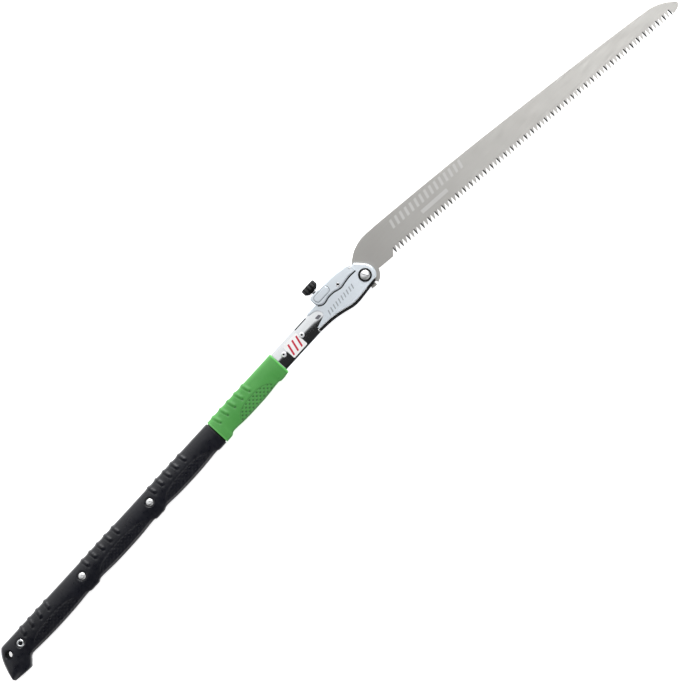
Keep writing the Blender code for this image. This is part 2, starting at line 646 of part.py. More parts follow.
make_handle_channel()
make_front_grip()
make_rear_grip()
make_grip_fasteners()
make_neck_fittings()
make_head_casting()
make_blade_guides()
make_pivot()
make_blade()
make_lever()
make_lever_spring()
make_knob()
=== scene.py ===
"""The looks of a large two-handed folding saw that lies open on a pale floor.

Lengths are in millimetres and become metres where a mesh is made, as in the part's own source.
x runs along the handle towards the blade, y towards the spine, both from the blade's pivot,
and level is the height above the saw's mid-plane.
"""

import json
import math

import bmesh
import bpy
import numpy as np
from mathutils import Matrix, Vector


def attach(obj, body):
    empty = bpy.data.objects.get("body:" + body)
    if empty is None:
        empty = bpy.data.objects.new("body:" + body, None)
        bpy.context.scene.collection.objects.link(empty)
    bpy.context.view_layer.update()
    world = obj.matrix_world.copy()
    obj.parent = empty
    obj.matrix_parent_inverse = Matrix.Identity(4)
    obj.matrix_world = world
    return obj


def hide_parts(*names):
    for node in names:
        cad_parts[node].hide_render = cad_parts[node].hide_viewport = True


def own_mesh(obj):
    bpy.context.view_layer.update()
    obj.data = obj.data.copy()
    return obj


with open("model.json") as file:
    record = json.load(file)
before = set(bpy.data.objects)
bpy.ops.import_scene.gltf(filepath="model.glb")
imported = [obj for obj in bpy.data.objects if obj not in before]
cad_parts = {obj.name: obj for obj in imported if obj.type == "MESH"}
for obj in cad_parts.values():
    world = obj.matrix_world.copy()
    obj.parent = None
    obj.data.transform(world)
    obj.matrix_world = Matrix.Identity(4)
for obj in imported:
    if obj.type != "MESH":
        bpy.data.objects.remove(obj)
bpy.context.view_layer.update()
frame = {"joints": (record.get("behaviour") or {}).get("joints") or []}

for plain in bpy.data.materials:
    plain.name = "cad_" + plain.name

MM = 0.001
JOINT_PLACE = {joint["name"]: joint.get("pos_m") for joint in frame["joints"]}
MID = JOINT_PLACE["blade_fold"][2] / MM
ROUND = 96                     # facets around a turned piece
AXIS = 0.05                    # a solid turned piece ends this near its axis
THROUGH = 20.0                 # beyond both sides of the saw
OVERCUT = 5.0                  # cutters reach this far past an end
SHARP = 0.0001                 # the rounding of a sharp edge
WELD = 0.000001                # in metres: closer points become one
SIDES = ((1, "near"), (-1, "far"))

# half thicknesses from the mid-plane
GRIP_HALF = 13.5
LEVER_HALF = 12.7
LEVER_INNER = 10.2
CHEEK_HALF = 9.9
CHANNEL_HALF = 8.0
SLOT_HALF = 2.1
BLADE_HALF = 1.0
GAP = 0.3

# handle channel
CHANNEL_WALL = 1.5
CHANNEL_CORNER = 4.5
CHANNEL_BELLY = -8.2
CHANNEL_ENDS = (-633.0, -67.0)
NECK_TOP = 20.0
INNER_TOP = 17.2
NECK_CROWN = 0.5               # how far the neck's sides swell
# the height of the swell, along the neck
NECK_RIDGE = ((-95.0, 7.7), (-86.0, 7.3), (-80.0, 5.2), (-72.0, 3.9))
LIP_ROUND = 1.45               # rounding of the sides' lower edges

# grips
SPINE = 20.4
GRIP_FRONT, GRIP_SEAM, POMMEL_START = -151.5, -267.5, -622.0
SEAM_HALF = 0.8                # half the width of the groove between the grips
SEAM_DEPTH = 2.0
RIM_BEADS = (-152.9, -266.1)   # the front grip's raised end rims
END_EASE = 0.9
NO_END = -900.0                # behind the butt, whose end isn't drawn in like the grips' others
FRONT_EASE = 1.6               # the front rim is rounder
HIGHLIGHT_MARK = 0.8                   # stored relief above this stands for a painted highlight
# how strongly each of the front grip's two end rims is lightened by a painted highlight
RIM_HIGHLIGHT = (1.0, 0.5)
BELLY_HIGHLIGHT = 2.5                # height of the painted highlight line above the belly
PAINTED_BELLY_SHADE = 0.5                    # stored relief of the painted shade line along the front grip's belly
REAR_MARKS = 0.5                # the rear grip's dimples are this much shallower
GRIP_SLOT_HALF = 3.5
SLOT_REAR = -618.0
STATION_STEP = 0.8             # spacing of the grips' cross sections
GRIP_BEADS = (                 # belly lobes: front end, rear end, depth of the lobe, of the swell behind it
    (-157.5, -166.0, 12.3, 12.7),
    (-256.0, -280.0, 13.7, 14.1),
    (-380.0, -395.0, 14.1, 14.2),
    (-500.0, -515.0, 14.6, 15.1),
)
SIDE_TOP, SIDE_FOOT = 13.1, 10.2    # half thicknesses at the top and the foot of the sides
SIDE_SWELL = 1.2               # how far the sides swell between them
SPINE_EASE = 6.2
SPINE_CROWN = 0.3
FULL_SECTION = 22.0            # in a lower section every rounding shrinks with its height
BELLY_EDGE = 3.0               # rounding of the belly's edges, which grows at the hook
HOOK_EDGE = 2.2
RIM_HEIGHT = 0.3
WAIST_RISE = 1.7
BEAD_STEP = 5.0
# ribs over the spine: rearmost, foremost, how many, and how far their lower ends lean forward
RIBS = (
    (-256.5, -203.8, 5, 2.4), (-374.6, -320.2, 5, 1.8), (-496.0, -441.0, 5, 1.0), (-608.2, -564.6, 4, -2.8),
)
RIB_LOW = 7.5                  # where the ribs end on the sides
RIB_HEIGHT, RIB_SPREAD = 1.25, 2.3
RIB_LOSS = 0.35                # a rib is this much lower on the sides than over the spine
RIB_SHADOW = 0.45              # depth of the hollow behind each rib
RIB_DIMPLE = 0.8               # depth of the dimple at each rib's lower end
# stippled panels on the sides: rear end, front end, height of their arched top edge
PANELS = ((-236.0, -175.5, 3.0), (-372.0, -290.0, 2.6), (-492.0, -405.0, 2.4), (-612.0, -532.0, 2.0))
DIMPLE_PITCH = 6.5
DIMPLE_ROW = 3.2
DIMPLE_DEPTH = 0.72
PANEL_SINK, PANEL_EDGE = 0.1, 0.38    # depth of a panel, and of the line around its top
PANEL_FOOT = -11.5
DIMPLE_START = (-2.75, -2.8)
HANG_HOLE = (-641.5, 6.0, 4.75)
HANG_SLANT = 0.105
SCREWS = ((-386.5, 6.3), (-510.0, 6.3))
EYELET = (-622.5, 6.3)
RECESS_R = 6.0
RECESS_FLOOR = 11.5

NECK_RIVETS = ((-107.5, 7.5), (-140.4, 7.4))
LABEL = ((-134.6, -5.2), (-110.6, 15.0))
SPINE_SEAM = ((-109.0, 17.0, 5.0), (-89.5, 18.3, 12.0))
# a punched mark on the neck
CRIMP = ((-81.6, 8.2), (-79.6, 5.4), (-74.6, 5.4), (-73.6, 6.6), (-75.4, 9.2), (-81.0, 9.4))

# head casting
CHEEK_TOP = 19.8
SHOULDER_TIP = (1.6, 20.3)
HEAD_NOSE_R = 13.9
HEAD_NOSE_ARC = (-58.0, 38.0)
NOSE_BEVEL = 1.8
EDGE_EASE = 1.5
BELLY_EASE = 0.5               # the cheeks' edges next to the guides and the neck
POCKET_FRONT = -66.4
TONGUE = (-150.0, -2.9, -64.0, 16.5)
WEB_FRONT = -39.0
SLOT_CEILING = 5.5
BOLT_SLOT_TURN = -62           # degrees
BELLY_LINE = (
    (-86.0, -3.3), (-77.0, -3.9), (-69.0, -4.7), (-61.0, -6.1), (-53.0, -8.0),
    (-45.0, -10.3), (-37.0, -12.5), (-29.0, -13.1), (-21.0, -12.9), (-9.0, -12.2), (4.5, -11.4),
)
HEAD_ARCH = ((-84.0, 17.3), (-78.0, 15.9), (-73.0, 13.4), (-70.2, 8.5), (-72.0, 3.9), (-80.0, 1.2))
PRONG_TIP = (-88.0, -1.1)
GUIDE_DEPTH = ((-30.0, 3.9), (4.5, 2.9))    # along the guides, shallower towards the blade
GUIDE_REAR = (-88.7, -3.2)
EDGE_GROOVE = (1.6, -0.8)      # the groove along the lever's lower edge reaches this far below and above it
EDGE_GROOVE_TOP = 17.6
GROOVE_DEPTH = 0.5
PANEL_DEPTH = 0.5              # depth of the slanting grooves on the cheeks

# lever, its lock bar and the safety knob
LEVER_PIN = (-31.5, 16.5)
LEVER_TOP = (
    (-69.0, 27.5), (-66.5, 30.6), (-55.0, 30.6), (-50.0, 29.2),
    (-42.0, 29.0), (-30.0, 28.5), (-20.0, 27.0), (-10.0, 24.8), (-3.4, 21.6),
)
LEVER_BELLY = (
    (-4.2, 12.9), (-15.0, 13.6), (-25.0, 12.5), (-31.0, 11.7), (-36.0, 12.7),
    (-42.0, 14.5), (-50.0, 15.2), (-59.0, 13.7), (-63.5, 14.6), (-67.0, 17.5), (-69.0, 21.5),
)
LEVER_TOP_WALL = 2.6
TOP_WALL_END = -12.0
REAR_WALL_LOW = 24.2
THUMB_PAD = (-66.0, 18.2, -41.8, 28.4)
PAD_GROOVE = 11.4              # level of the floor of the groove around the pad
BAR_ANGLE = 106.8
BAR_MIDDLE_R = 20.9
BAR_SIZE = (3.4, 3.0)
KNOB_X = -58.5
KNOB_R = 10.4
FLUTES = 12
FLUTE_DEPTH = 1.5
SPRING_X = -46.0

# blade, in its own frame: s along it from the pivot, t towards its spine
BLADE_TILT = -6.0
TANG_R = 19.0
TANG_BACK_R = 16.0
BLADE_BORE_R = 5.7
BLADE_SPINE = (
    (512.1, -1.6), (508.0, 1.8), (499.5, 7.2), (490.0, 11.3), (484.0, 12.9), (475.0, 14.3),
    (420.0, 18.8), (348.0, 23.8), (276.0, 28.2), (204.0, 32.2), (132.0, 35.2), (60.0, 37.4),
    (44.0, 37.7), (30.0, 37.4), (22.0, 36.1), (15.0, 33.8), (8.0, 30.4), (2.0, 26.0), (0.0, 24.4),
)
BLADE_TIP = ((500.0, -10.5), (505.8, -9.7), (510.2, -7.4), (512.7, -4.1), (512.1, -1.6))
HEEL = ((24.0, -5.6), (41.5, -6.0))
TOOTH_ROW = (47.4, 497.0)
TEETH = 83
TOOTH_GRADE = 0.045            # how much wider the first tooth is than the average one, as a share
SKIN_GAP = 0.03                # how far the dark sheets of painted shade on the teeth's facets stand off them

# floor and surroundings: the sky's brightness against the direction's y
FLOOR_GAP = 0.2
SKY = (
    (-1.0, 0.8), (-0.72, 0.8), (-0.64, 0.03), (-0.006, 0.03),
    (0.006, 1.05), (0.12, 1.05), (0.3, 1.2), (1.0, 1.2),
)


# ---------------------------------------------------------------- lines

def arc(radius, start, end, steps, centre=(0.0, 0.0)):
    angles = np.radians(np.linspace(start, end, steps + 1))
    return [(centre[0] + radius * math.cos(a), centre[1] + radius * math.sin(a)) for a in angles]


def curve_through(points, steps=8):
    """Points along a smooth open curve that passes through each given point."""
    path = np.array([points[0], *points, points[-1]], float)
    share = np.arange(steps)[:, None] / steps
    found = []
    for before, start, end, after in zip(path, path[1:], path[2:], path[3:]):
        bend = (2 * before - 5 * start + 4 * end - after) * share**2
        bend += (3 * start - before - 3 * end + after) * share**3
        found += (start + ((end - before) * share + bend) / 2).tolist()
    return [tuple(p) for p in found] + [tuple(points[-1])]


def eased(points, reach, steps=5, closed=False):
    """The same line with each corner rounded over this distance."""
    points = [Vector(p) for p in points]
    count = len(points)
    found = []
    for i, corner in enumerate(points):
        if not closed and i in (0, count - 1):
            found.append(tuple(corner))
            continue
        before, after = points[i - 1] - corner, points[(i + 1) % count] - corner
        start = corner + before * min(reach / before.length, 0.48)
        end = corner + after * min(reach / after.length, 0.48)
        for step in range(steps + 1):
            u = step / steps
            found.append(tuple(start * (1 - u) ** 2 + corner * 2 * u * (1 - u) + end * u * u))
    return found


def part_way(points, share):
    """The points at these shares of a line's length."""
    points = np.array(points, float)
    along = np.concatenate([[0], np.cumsum(np.linalg.norm(np.diff(points, axis=0), axis=1))])
    return np.stack([np.interp(np.asarray(share) * along[-1], along, axis) for axis in points.T], -1)


def inward(outline):
    """Each outline point's direction into the shape, longer at a corner so that edges keep their distance."""
    outline = np.array(outline, float)
    ahead = np.roll(outline, -1, 0) - outline
    ahead /= np.linalg.norm(ahead, axis=1)[:, None]
    behind = np.roll(ahead, 1, 0)
    left = np.stack([-ahead[:, 1] - behind[:, 1], ahead[:, 0] + behind[:, 0]], -1)
    share = 1 + (ahead * behind).sum(1)
    area = np.cross(outline, np.roll(outline, -1, 0)).sum()
    return left / np.maximum(share, 0.35)[:, None] * np.sign(area)


def drawn_in(outline, way):
    """The outline moved in, with the small loops that this makes at tight corners closed up."""
    ring = outline + way
    ahead = np.roll(outline, -1, 0) - outline
    for _ in range(40):
        turned_back = np.flatnonzero(((np.roll(ring, -1, 0) - ring) * ahead).sum(1) < 0)
        for i in turned_back:
            j = (i + 1) % len(ring)
            ring[i] = ring[j] = (ring[i] + ring[j]) / 2
    return ring


def band(line, upper, lower):
    """A closed strip along an open line, between two distances to its left."""
    line = np.array(line, float)
    ahead = np.gradient(line, axis=0)
    ahead /= np.linalg.norm(ahead, axis=1)[:, None]
    left = np.stack([-ahead[:, 1], ahead[:, 0]], -1)
    return np.concatenate([line + left * lower, (line + left * upper)[::-1]])


def rectangle(x0, y0, x1, y1):
    return [(x0, y0), (x1, y0), (x1, y1), (x0, y1)]


def smoothstep(low, high, values):
    share = np.clip((values - low) / (high - low), 0, 1)
    return share * share * (3 - 2 * share)


def hump(offset, spread):
    """A smooth hump of height 1 that has mostly faded at this distance."""
    return np.exp(-((offset / spread) ** 2))


# ---------------------------------------------------------------- meshes

def add_object(name, data):
    obj = bpy.data.objects.new(name, data)
    bpy.context.scene.collection.objects.link(obj)
    return obj


def to_mesh(name, points, faces):
    """A mesh from points in millimetres about the pivot and the mid-plane, with its faces out."""
    mesh = bpy.data.meshes.new(name)
    points = (np.asarray(points, float) + (0, 0, MID)) * MM
    mesh.from_pydata(points.tolist(), [], faces)
    work = bmesh.new()
    work.from_mesh(mesh)
    bmesh.ops.remove_doubles(work, verts=work.verts, dist=WELD)
    bmesh.ops.recalc_face_normals(work, faces=work.faces)
    if work.calc_volume(signed=True) < 0:
        bmesh.ops.reverse_faces(work, faces=work.faces)
    work.to_mesh(mesh)
    work.free()
    return add_object(name, mesh)


def skin(name, rings, wrap=False):
    """A closed skin through rings of equally many points. It has flat ends unless it wraps round."""
    rings = np.asarray(rings, float)
    count, around = rings.shape[:2]
    index = np.arange(count * around).reshape(count, around)
    here, there = (index, np.roll(index, -1, 0)) if wrap else (index[:-1], index[1:])
    quads = np.stack([here, np.roll(here, -1, 1), np.roll(there, -1, 1), there], -1)
    faces = quads.reshape(-1, 4).tolist()
    if not wrap:
        faces += [index[0][::-1].tolist(), index[-1].tolist()]
    return to_mesh(name, rings.reshape(-1, 3), faces)


def plate(name, outline, low, high, ease=0.5, drop=None, steps=4):
    """A flat piece between two levels whose edges are rounded inwards by ease and down by drop."""
    outline = np.array(outline, float)
    inside = inward(outline)
    ease = np.broadcast_to(ease, len(outline))[:, None]
    drop = ease if drop is None else np.broadcast_to(drop, len(outline))[:, None]
    turn = np.radians(np.linspace(0, 90, steps + 1))
    shares = [(1 - math.cos(a), 1 - math.sin(a)) for a in turn] + [(1.25, 0.0)]
    upper = [
        np.hstack([drawn_in(outline, inside * ease * inset), high - drop * fall]) for inset, fall in shares
    ]
    lower = [ring * (1, 1, -1) + (0, 0, low + high) for ring in upper[::-1]]
    return skin(name, lower + upper)


def sheet(name, outline, start, end):
    """A plate with sharp edges, between two levels in either order."""
    return plate(name, outline, *sorted((start, end)), SHARP, steps=1)


def turned(name, profile, place=(0.0, 0.0), upright=False, wrap=False, steps=ROUND):
    """A turned piece: its profile's points are (radius, height), and it stands across the saw or along y."""
    angles = np.linspace(0, math.tau, steps, endpoint=False)
    rings = []
    for radius, height in profile:
        side, other = radius * np.cos(angles), radius * np.sin(angles)
        level = np.full(steps, height)
        rings.append(np.stack([side, level, other] if upright else [side, other, level], -1))
    return skin(name, np.array(rings) + (place[0], place[1], 0), wrap)


def mirrored(profile):
    """A turned profile followed by its mirror image below the mid-plane."""
    return profile + [(r, -h) for r, h in profile[::-1]]


def drill(radius, place=(0.0, 0.0), reach=(THROUGH, -THROUGH), upright=False):
    """A round cutter, which goes right through the saw unless its reach is given."""
    return turned("drill", [(radius, level) for level in reach], place, upright)


def ring(name, radii, levels, ease, steps, place=(0.0, 0.0), upright=False):
    """A flat ring with rounded edges."""
    corners = rectangle(radii[0], levels[0], radii[1], levels[1])
    return turned(name, eased(corners, ease, steps, closed=True), place, upright, wrap=True)


def tube(name, path, radius, steps=14):
    """A round wire along a path of points."""
    path = np.array(path, float)
    ahead = np.gradient(path, axis=0)
    ahead /= np.linalg.norm(ahead, axis=1)[:, None]
    side = np.cross(ahead, (0, 1, 0))
    side /= np.linalg.norm(side, axis=1)[:, None]
    up = np.cross(side, ahead)
    angles = np.linspace(0, math.tau, steps, endpoint=False)[None, :, None]
    around = np.cos(angles) * side[:, None] + np.sin(angles) * up[:, None]
    return skin(name, path[:, None] + radius * around)


def block(name, low, high, turn=0.0, ease=0.0):
    """A box between two corners (x, y, level), turned about its own middle in the side view."""
    (x0, y0, z0), (x1, y1, z1) = low, high
    middle = np.array([(x0 + x1) / 2, (y0 + y1) / 2])
    corners = np.array(rectangle(x0, y0, x1, y1)) - middle
    a = math.radians(turn)
    corners = corners @ np.array([[math.cos(a), math.sin(a)], [-math.sin(a), math.cos(a)]]) + middle
    if ease:
        return plate(name, eased(corners, ease, 4, closed=True), z0, z1, ease, steps=3)
    return skin(name, [np.hstack([corners, np.full((4, 1), z)]) for z in (z0, z1)])


def reshape(obj, operation, others):
    """Cuts others from a piece, or joins them on, and leaves plain faces."""
    for other in others:
        step = obj.modifiers.new(other.name, "BOOLEAN")
        step.operation = operation
        step.solver = "MANIFOLD"
        step.object = other
    graph = bpy.context.evaluated_depsgraph_get()
    shaped = bpy.data.meshes.new_from_object(obj.evaluated_get(graph))
    obj.modifiers.clear()
    obj.data = shaped
    for other in others:
        bpy.data.objects.remove(other)
    work = bmesh.new()
    work.from_mesh(shaped)
    bmesh.ops.triangulate(work, faces=[f for f in work.faces if len(f.verts) > 4])
    work.to_mesh(shaped)
    work.free()
    return obj


def cut(obj, *others):
    return reshape(obj, "DIFFERENCE", others)


def join(obj, *others):
    return reshape(obj, "UNION", others)


def dress(obj, look, body, *nodes, smooth=35, slot=None):
    """Gives a piece its material and its CAD body, and hides the nodes that it stands for."""
    obj.data.materials.clear()
    obj.data.materials.append(look)
    obj.data.shade_smooth()
    obj.data.set_sharp_from_angle(angle=math.radians(smooth))
    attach(obj, body)
    if nodes:
        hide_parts(*nodes)
    return obj


# ---------------------------------------------------------------- materials

def shader_node(tree, kind, output, inputs=None, **settings):
    """Adds a node whose inputs are values or other nodes' outputs, and returns one of its outputs."""
    node = tree.nodes.new(kind)
    for setting, value in settings.items():
        setattr(node, setting, value)
    for socket, value in (inputs or {}).items():
        if isinstance(value, bpy.types.NodeSocket):
            tree.links.new(value, node.inputs[socket])
        else:
            node.inputs[socket].default_value = value
    return node.outputs[output]


def color_ramp(tree, factor, stops):
    """Maps a factor through stops of (position, grey or colour)."""
    output = shader_node(tree, "ShaderNodeValToRGB", "Color", {"Fac": factor})
    elements = output.node.color_ramp.elements
    while len(elements) < len(stops):
        elements.new(0.5)
    for element, (position, value) in zip(elements, stops):
        element.position = position
        element.color = (*value, 1.0) if isinstance(value, tuple) else (value, value, value, 1.0)
    return output


class Look:
    """A material with its shader, and short ways to add the nodes that vary it."""

    def __init__(self, name, colour, roughness, metallic=0.0, **settings):
        self.material = bpy.data.materials.new(name)
        self.material.use_nodes = True
        self.tree = self.material.node_tree
        self.shader = self.tree.nodes["Principled BSDF"]
        settings |= {"Base_Color": (*colour, 1.0), "Roughness": roughness, "Metallic": metallic}
        for socket, value in settings.items():
            self.shader.inputs[socket.replace("_", " ")].default_value = value
        self.place = shader_node(self.tree, "ShaderNodeTexCoord", "Object")

    def link(self, output, socket):
        self.tree.links.new(output, self.shader.inputs[socket])

    def noise(self, per_metre, detail=3.0, stretch=None):
        place = self.place
        if stretch:
            place = shader_node(self.tree, "ShaderNodeMapping", "Vector", {"Vector": place, "Scale": stretch})
        inputs = {"Vector": place, "Scale": per_metre, "Detail": detail}
        return shader_node(self.tree, "ShaderNodeTexNoise", "Fac", inputs)

    def cells(self, per_metre):
        inputs = {"Vector": self.place, "Scale": per_metre}
        return shader_node(self.tree, "ShaderNodeTexVoronoi", "Distance", inputs)

    def relief(self, colour, *stops):
        """A colour that is darker or lighter with the mesh's stored relief, through stops of (mm, share):
        painted shade and painted highlights.
        """
        stored = shader_node(self.tree, "ShaderNodeAttribute", "Fac", attribute_name="relief")
        inputs = {"Value": stored, "From Min": -1.0, "From Max": 1.0}
        spread = shader_node(self.tree, "ShaderNodeMapRange", "Result", inputs)
        shade = self.ramp(spread, *(((mm + 1) / 2, share) for mm, share in stops))
        inputs = {"Factor": 1.0, "A": colour, "B": shade}
        settings = {"data_type": "RGBA", "blend_type": "MULTIPLY"}
        return shader_node(self.tree, "ShaderNodeMix", "Result", inputs, **settings)

    def ramp(self, factor, *stops):
        return color_ramp(self.tree, factor, stops)

    def vary(self, socket, factor, start, end, positions=(0.3, 0.7)):
        """Lets a socket follow a factor from one value to another."""
        self.link(self.ramp(factor, *zip(positions, (start, end))), socket)

    def bump(self, height, depth_mm):
        """Adds relief of this depth, on top of any relief before it."""
        inputs = {"Height": height, "Distance": depth_mm * MM, "Strength": 1.0}
        before = self.shader.inputs["Normal"].links
        if before:
            inputs["Normal"] = before[0].from_socket
        self.link(shader_node(self.tree, "ShaderNodeBump", "Normal", inputs), "Normal")


def rubber(name, dark, light, roughness, gloss, highlight_gain):
    """Moulded rubber: a fine grain, faint cloudiness, painted shade in its hollows and painted highlights on
    some edges.
    """
    look = Look(name, light, roughness, Specular_IOR_Level=gloss)
    cloudy = look.ramp(look.noise(28.0, 4.0), (0.3, dark), (0.7, light))
    # painted shade where the stored relief is low; painted highlights where it is marked above its highlight
    # level
    hollow_shade = ((-0.8, 0.3), (-0.45, 0.56), (-0.15, 0.94), (0.0, 0.97), (0.2, 1.0))
    look.link(look.relief(cloudy, *hollow_shade, (HIGHLIGHT_MARK, 1.0), (1.0, highlight_gain)), "Base Color")
    look.vary("Roughness", look.noise(160.0, 2.0), roughness - 0.06, roughness + 0.06)
    look.bump(look.noise(1500.0, 2.0), 0.05)
    look.bump(look.cells(900.0), 0.03)
    return look.material


def polished(name, colour, roughness, smudge):
    """Plated metal, with faint smudges and hairline wear."""
    look = Look(name, colour, roughness, 1.0)
    look.vary("Roughness", look.noise(45.0, 5.0), roughness, roughness + smudge, (0.35, 0.75))
    look.bump(look.noise(700.0, 2.0, (1.0, 0.05, 1.0)), 0.002)
    return look.material


def satin_metal(name, dark, light, roughness, grain, per_metre, stretch=None):
    """Blasted or ground metal: a grain of this depth, and faint clouds in its colour."""
    look = Look(name, light, roughness, 1.0)
    cloudy = look.ramp(look.noise(18.0, 4.0), (0.3, dark), (0.7, light))
    # painted shade: darker where the mesh stores low relief, as the blade does on its teeth's ground facets
    look.link(look.relief(cloudy, (-0.9, 0.01), (0.0, 1.0)), "Base Color")
    grey = look.noise(per_metre, 3.0, stretch)
    look.vary("Roughness", grey, roughness - 0.07, roughness + 0.07)
    look.bump(grey, grain)
    return look.material


def moulded(name, colour, roughness, gloss):
    """Moulded plastic with a fine spark-eroded grain, and painted shade in any hollow that the mesh stores as
    relief.
    """
    look = Look(name, colour, roughness, Specular_IOR_Level=gloss)
    light = tuple(c * 1.35 + 0.001 for c in colour)
    cloudy = look.ramp(look.noise(60.0, 4.0), (0.35, colour), (0.7, light))
    # painted shade: darker where the stored relief is low
    look.link(look.relief(cloudy, (-0.9, 0.08), (0.0, 1.0)), "Base Color")
    look.vary("Roughness", look.noise(220.0, 2.0), roughness - 0.05, roughness + 0.08)
    look.bump(look.noise(1800.0, 2.0), 0.02)
    return look.material


def film(name, colour):
    """A printed film: smooth, with the slight ripple of a sticker over metal."""
    look = Look(name, colour, 0.34)
    light = tuple(min(1.0, c * 1.05) for c in colour)
    look.vary("Base Color", look.noise(120.0, 2.0), colour, light)
    look.bump(look.noise(90.0, 1.0), 0.05)
    return look.material


CHROME = polished("chrome", (0.75, 0.77, 0.79), 0.04, 0.05)
SATIN_CAST = satin_metal("satin_cast", (0.665, 0.715, 0.765), (0.715, 0.77, 0.82), 0.38, 0.012, 1400.0)
BLADE_STEEL = satin_metal(
    "blade_steel", (0.322, 0.315, 0.302), (0.346, 0.340, 0.327), 0.42, 0.004, 900.0, (0.04, 1.0, 1.0)
)
ETCHED_STEEL = satin_metal("etched_steel", (0.455, 0.450, 0.444), (0.490, 0.485, 0.478), 0.55, 0.006, 1500.0)
BRIGHT_STEEL = polished("bright_steel", (0.84, 0.84, 0.85), 0.14, 0.08)
SATIN_STEEL = polished("satin_steel", (0.90, 0.91, 0.92), 0.36, 0.08)
# darker satin on the floors of the cheeks' and the lever's grooves: painted shade
RECESS_SHADE = satin_metal("cast_recess_shade", (0.38, 0.41, 0.44), (0.42, 0.45, 0.48), 0.5, 0.012, 1400.0)
SPRING_STEEL = polished("spring_steel", (0.42, 0.42, 0.44), 0.28, 0.1)
# black oxide on the knob's stud; the same dark metal also paints shade on the plugs deep in hollow rivets,
# the pin and the eyelet
BLACK_OXIDE_AND_SHADE = satin_metal("black_oxide", (0.015, 0.015, 0.018), (0.024, 0.024, 0.028), 0.36, 0.004, 1200.0)
CRIMP_FLOOR = satin_metal("crimp_floor", (0.16, 0.16, 0.18), (0.20, 0.20, 0.22), 0.4, 0.004, 1200.0)
# black plastic of the blade guides and pivot rings; the same black also paints shade in the spine's seam and
# the groove under the lever's edge
BLACK_PLASTIC_AND_SHADE = moulded("black_plastic", (0.002, 0.002, 0.0025), 0.6, 0.2)
KNOB_PLASTIC = moulded("knob_plastic", (0.056, 0.056, 0.058), 0.6, 0.1)
HOLE_SHADE = moulded("hole_shade", (0.014, 0.014, 0.016), 0.8, 0.05)
TOOTH_SHADE = moulded("tooth_shade", (0.09, 0.09, 0.09), 0.8, 0.0)
# the last value of each rubber is how much its painted highlights lighten it
GREEN_RUBBER = rubber("green_rubber", (0.068, 0.315, 0.060), (0.090, 0.360, 0.078), 0.46, 0.5, 1.7)
BLACK_RUBBER = rubber(
    "black_rubber", (0.003, 0.0034, 0.007), (0.0055, 0.0062, 0.0115), 0.32, 0.62, (20.0, 17.5, 9.5)
)
LABEL_FILM = film("label_film", (0.80, 0.80, 0.80))
LABEL_INK = film("label_ink", (0.52, 0.02, 0.05))
BRASS = polished("brass", (0.72, 0.54, 0.24), 0.22, 0.12)


# ---------------------------------------------------------------- grips

def belly_line():
    """The grips' belly from front to rear: lobes, with a waist and a swell behind each."""
    points = [(GRIP_FRONT, -11.2)]
    followers = (*GRIP_BEADS[1:], (POMMEL_START, 0, 0, 0))
    for (start, end, lobe, swell), (following, *_) in zip(GRIP_BEADS, followers):
        middle = (end + following) / 2
        waist = swell - WAIST_RISE
        falling, rising = end - BEAD_STEP, following + BEAD_STEP
        points += [(start - 1.5, -lobe), ((start + end) / 2, -lobe - 0.1), (end, -lobe)]
        points += [(falling, -waist), ((falling + middle) / 2, -swell + 0.4), (middle, -swell)]
        points += [((rising + middle) / 2, -swell + 0.4), (rising, -waist)]
    return np.array(curve_through([*points, (POMMEL_START, -13.6)]))[::-1]


BELLY = belly_line()


def straight_stations(front, rear):
    """Pairs of belly and spine points along a grip, close together at its rounded ends."""
    rim = FRONT_EASE + 0.3
    close = np.linspace(0, rim, 11)
    x = np.linspace(front - rim, rear + rim, int((front - rear) / STATION_STEP))[1:-1]
    x = np.concatenate([front - close, x, rear + close[::-1]])
    return np.stack([x, np.interp(x, *BELLY.T)], -1), np.stack([x, np.full(len(x), SPINE)], -1)


def pommel_stations():
    """Pairs of points that fan out from the hooked belly to the sloping back, down to the butt's corner."""
    hook = curve_through([(-622.0, -13.6), (-625.2, -15.2), (-629.5, -19.4), (-633.4, -23.2)])
    foot = curve_through(
        [(-634.6, -23.9), (-636.5, -23.8), (-648.0, -22.6), (-659.2, -20.9), (-660.9, -20.2)]
    )
    back = curve_through(
        [(-622.0, SPINE), (-632.0, SPINE), (-641.0, SPINE), (-644.4, 19.4), (-650.0, 13.6), (-655.0, 5.4),
         (-659.4, -5.6), (-662.0, -15.0), (-662.3, -17.4)]
    )
    share = np.linspace(0, 1, 110)[1:]
    return part_way(hook + foot, share), part_way(back, share)


def section(height, belly_ease):
    """(level, rise above the belly) around a grip's outside, from the spine's middle down one side."""
    scale = min(1.0, height / FULL_SECTION)
    spine_ease, belly_ease, crown = SPINE_EASE * scale, belly_ease * scale, SPINE_CROWN * scale
    top_edge = SIDE_TOP - spine_ease
    flat = np.linspace(0, top_edge, 8)[:-1]
    spine = np.stack([flat, height - crown * (flat / 6) ** 2], -1)
    corner = np.radians(np.linspace(90, 4, 12))
    top = np.stack([top_edge + spine_ease * np.cos(corner), height - spine_ease * (1 - np.sin(corner))], -1)
    top[:, 1] -= crown * (top_edge / 6) ** 2 * np.sin(corner)
    share = np.linspace(0, 1, 50)[1:-1]
    rise = height - spine_ease + (belly_ease - height + spine_ease) * share
    bulge = SIDE_SWELL * scale * np.sin(np.pi * share) ** 0.85
    side = np.stack([SIDE_TOP + (SIDE_FOOT - SIDE_TOP) * share + bulge, rise], -1)
    corner = np.radians(np.linspace(0, 90, 9))
    foot = np.stack([SIDE_FOOT - belly_ease * (1 - np.cos(corner)), belly_ease * (1 - np.sin(corner))], -1)
    bottom = np.stack([np.linspace(SIDE_FOOT - belly_ease, 0, 8)[1:], np.zeros(7)], -1)
    half = np.concatenate([spine, top, side, foot, bottom])
    return np.concatenate([half, half[-2:0:-1] * (-1, 1)])


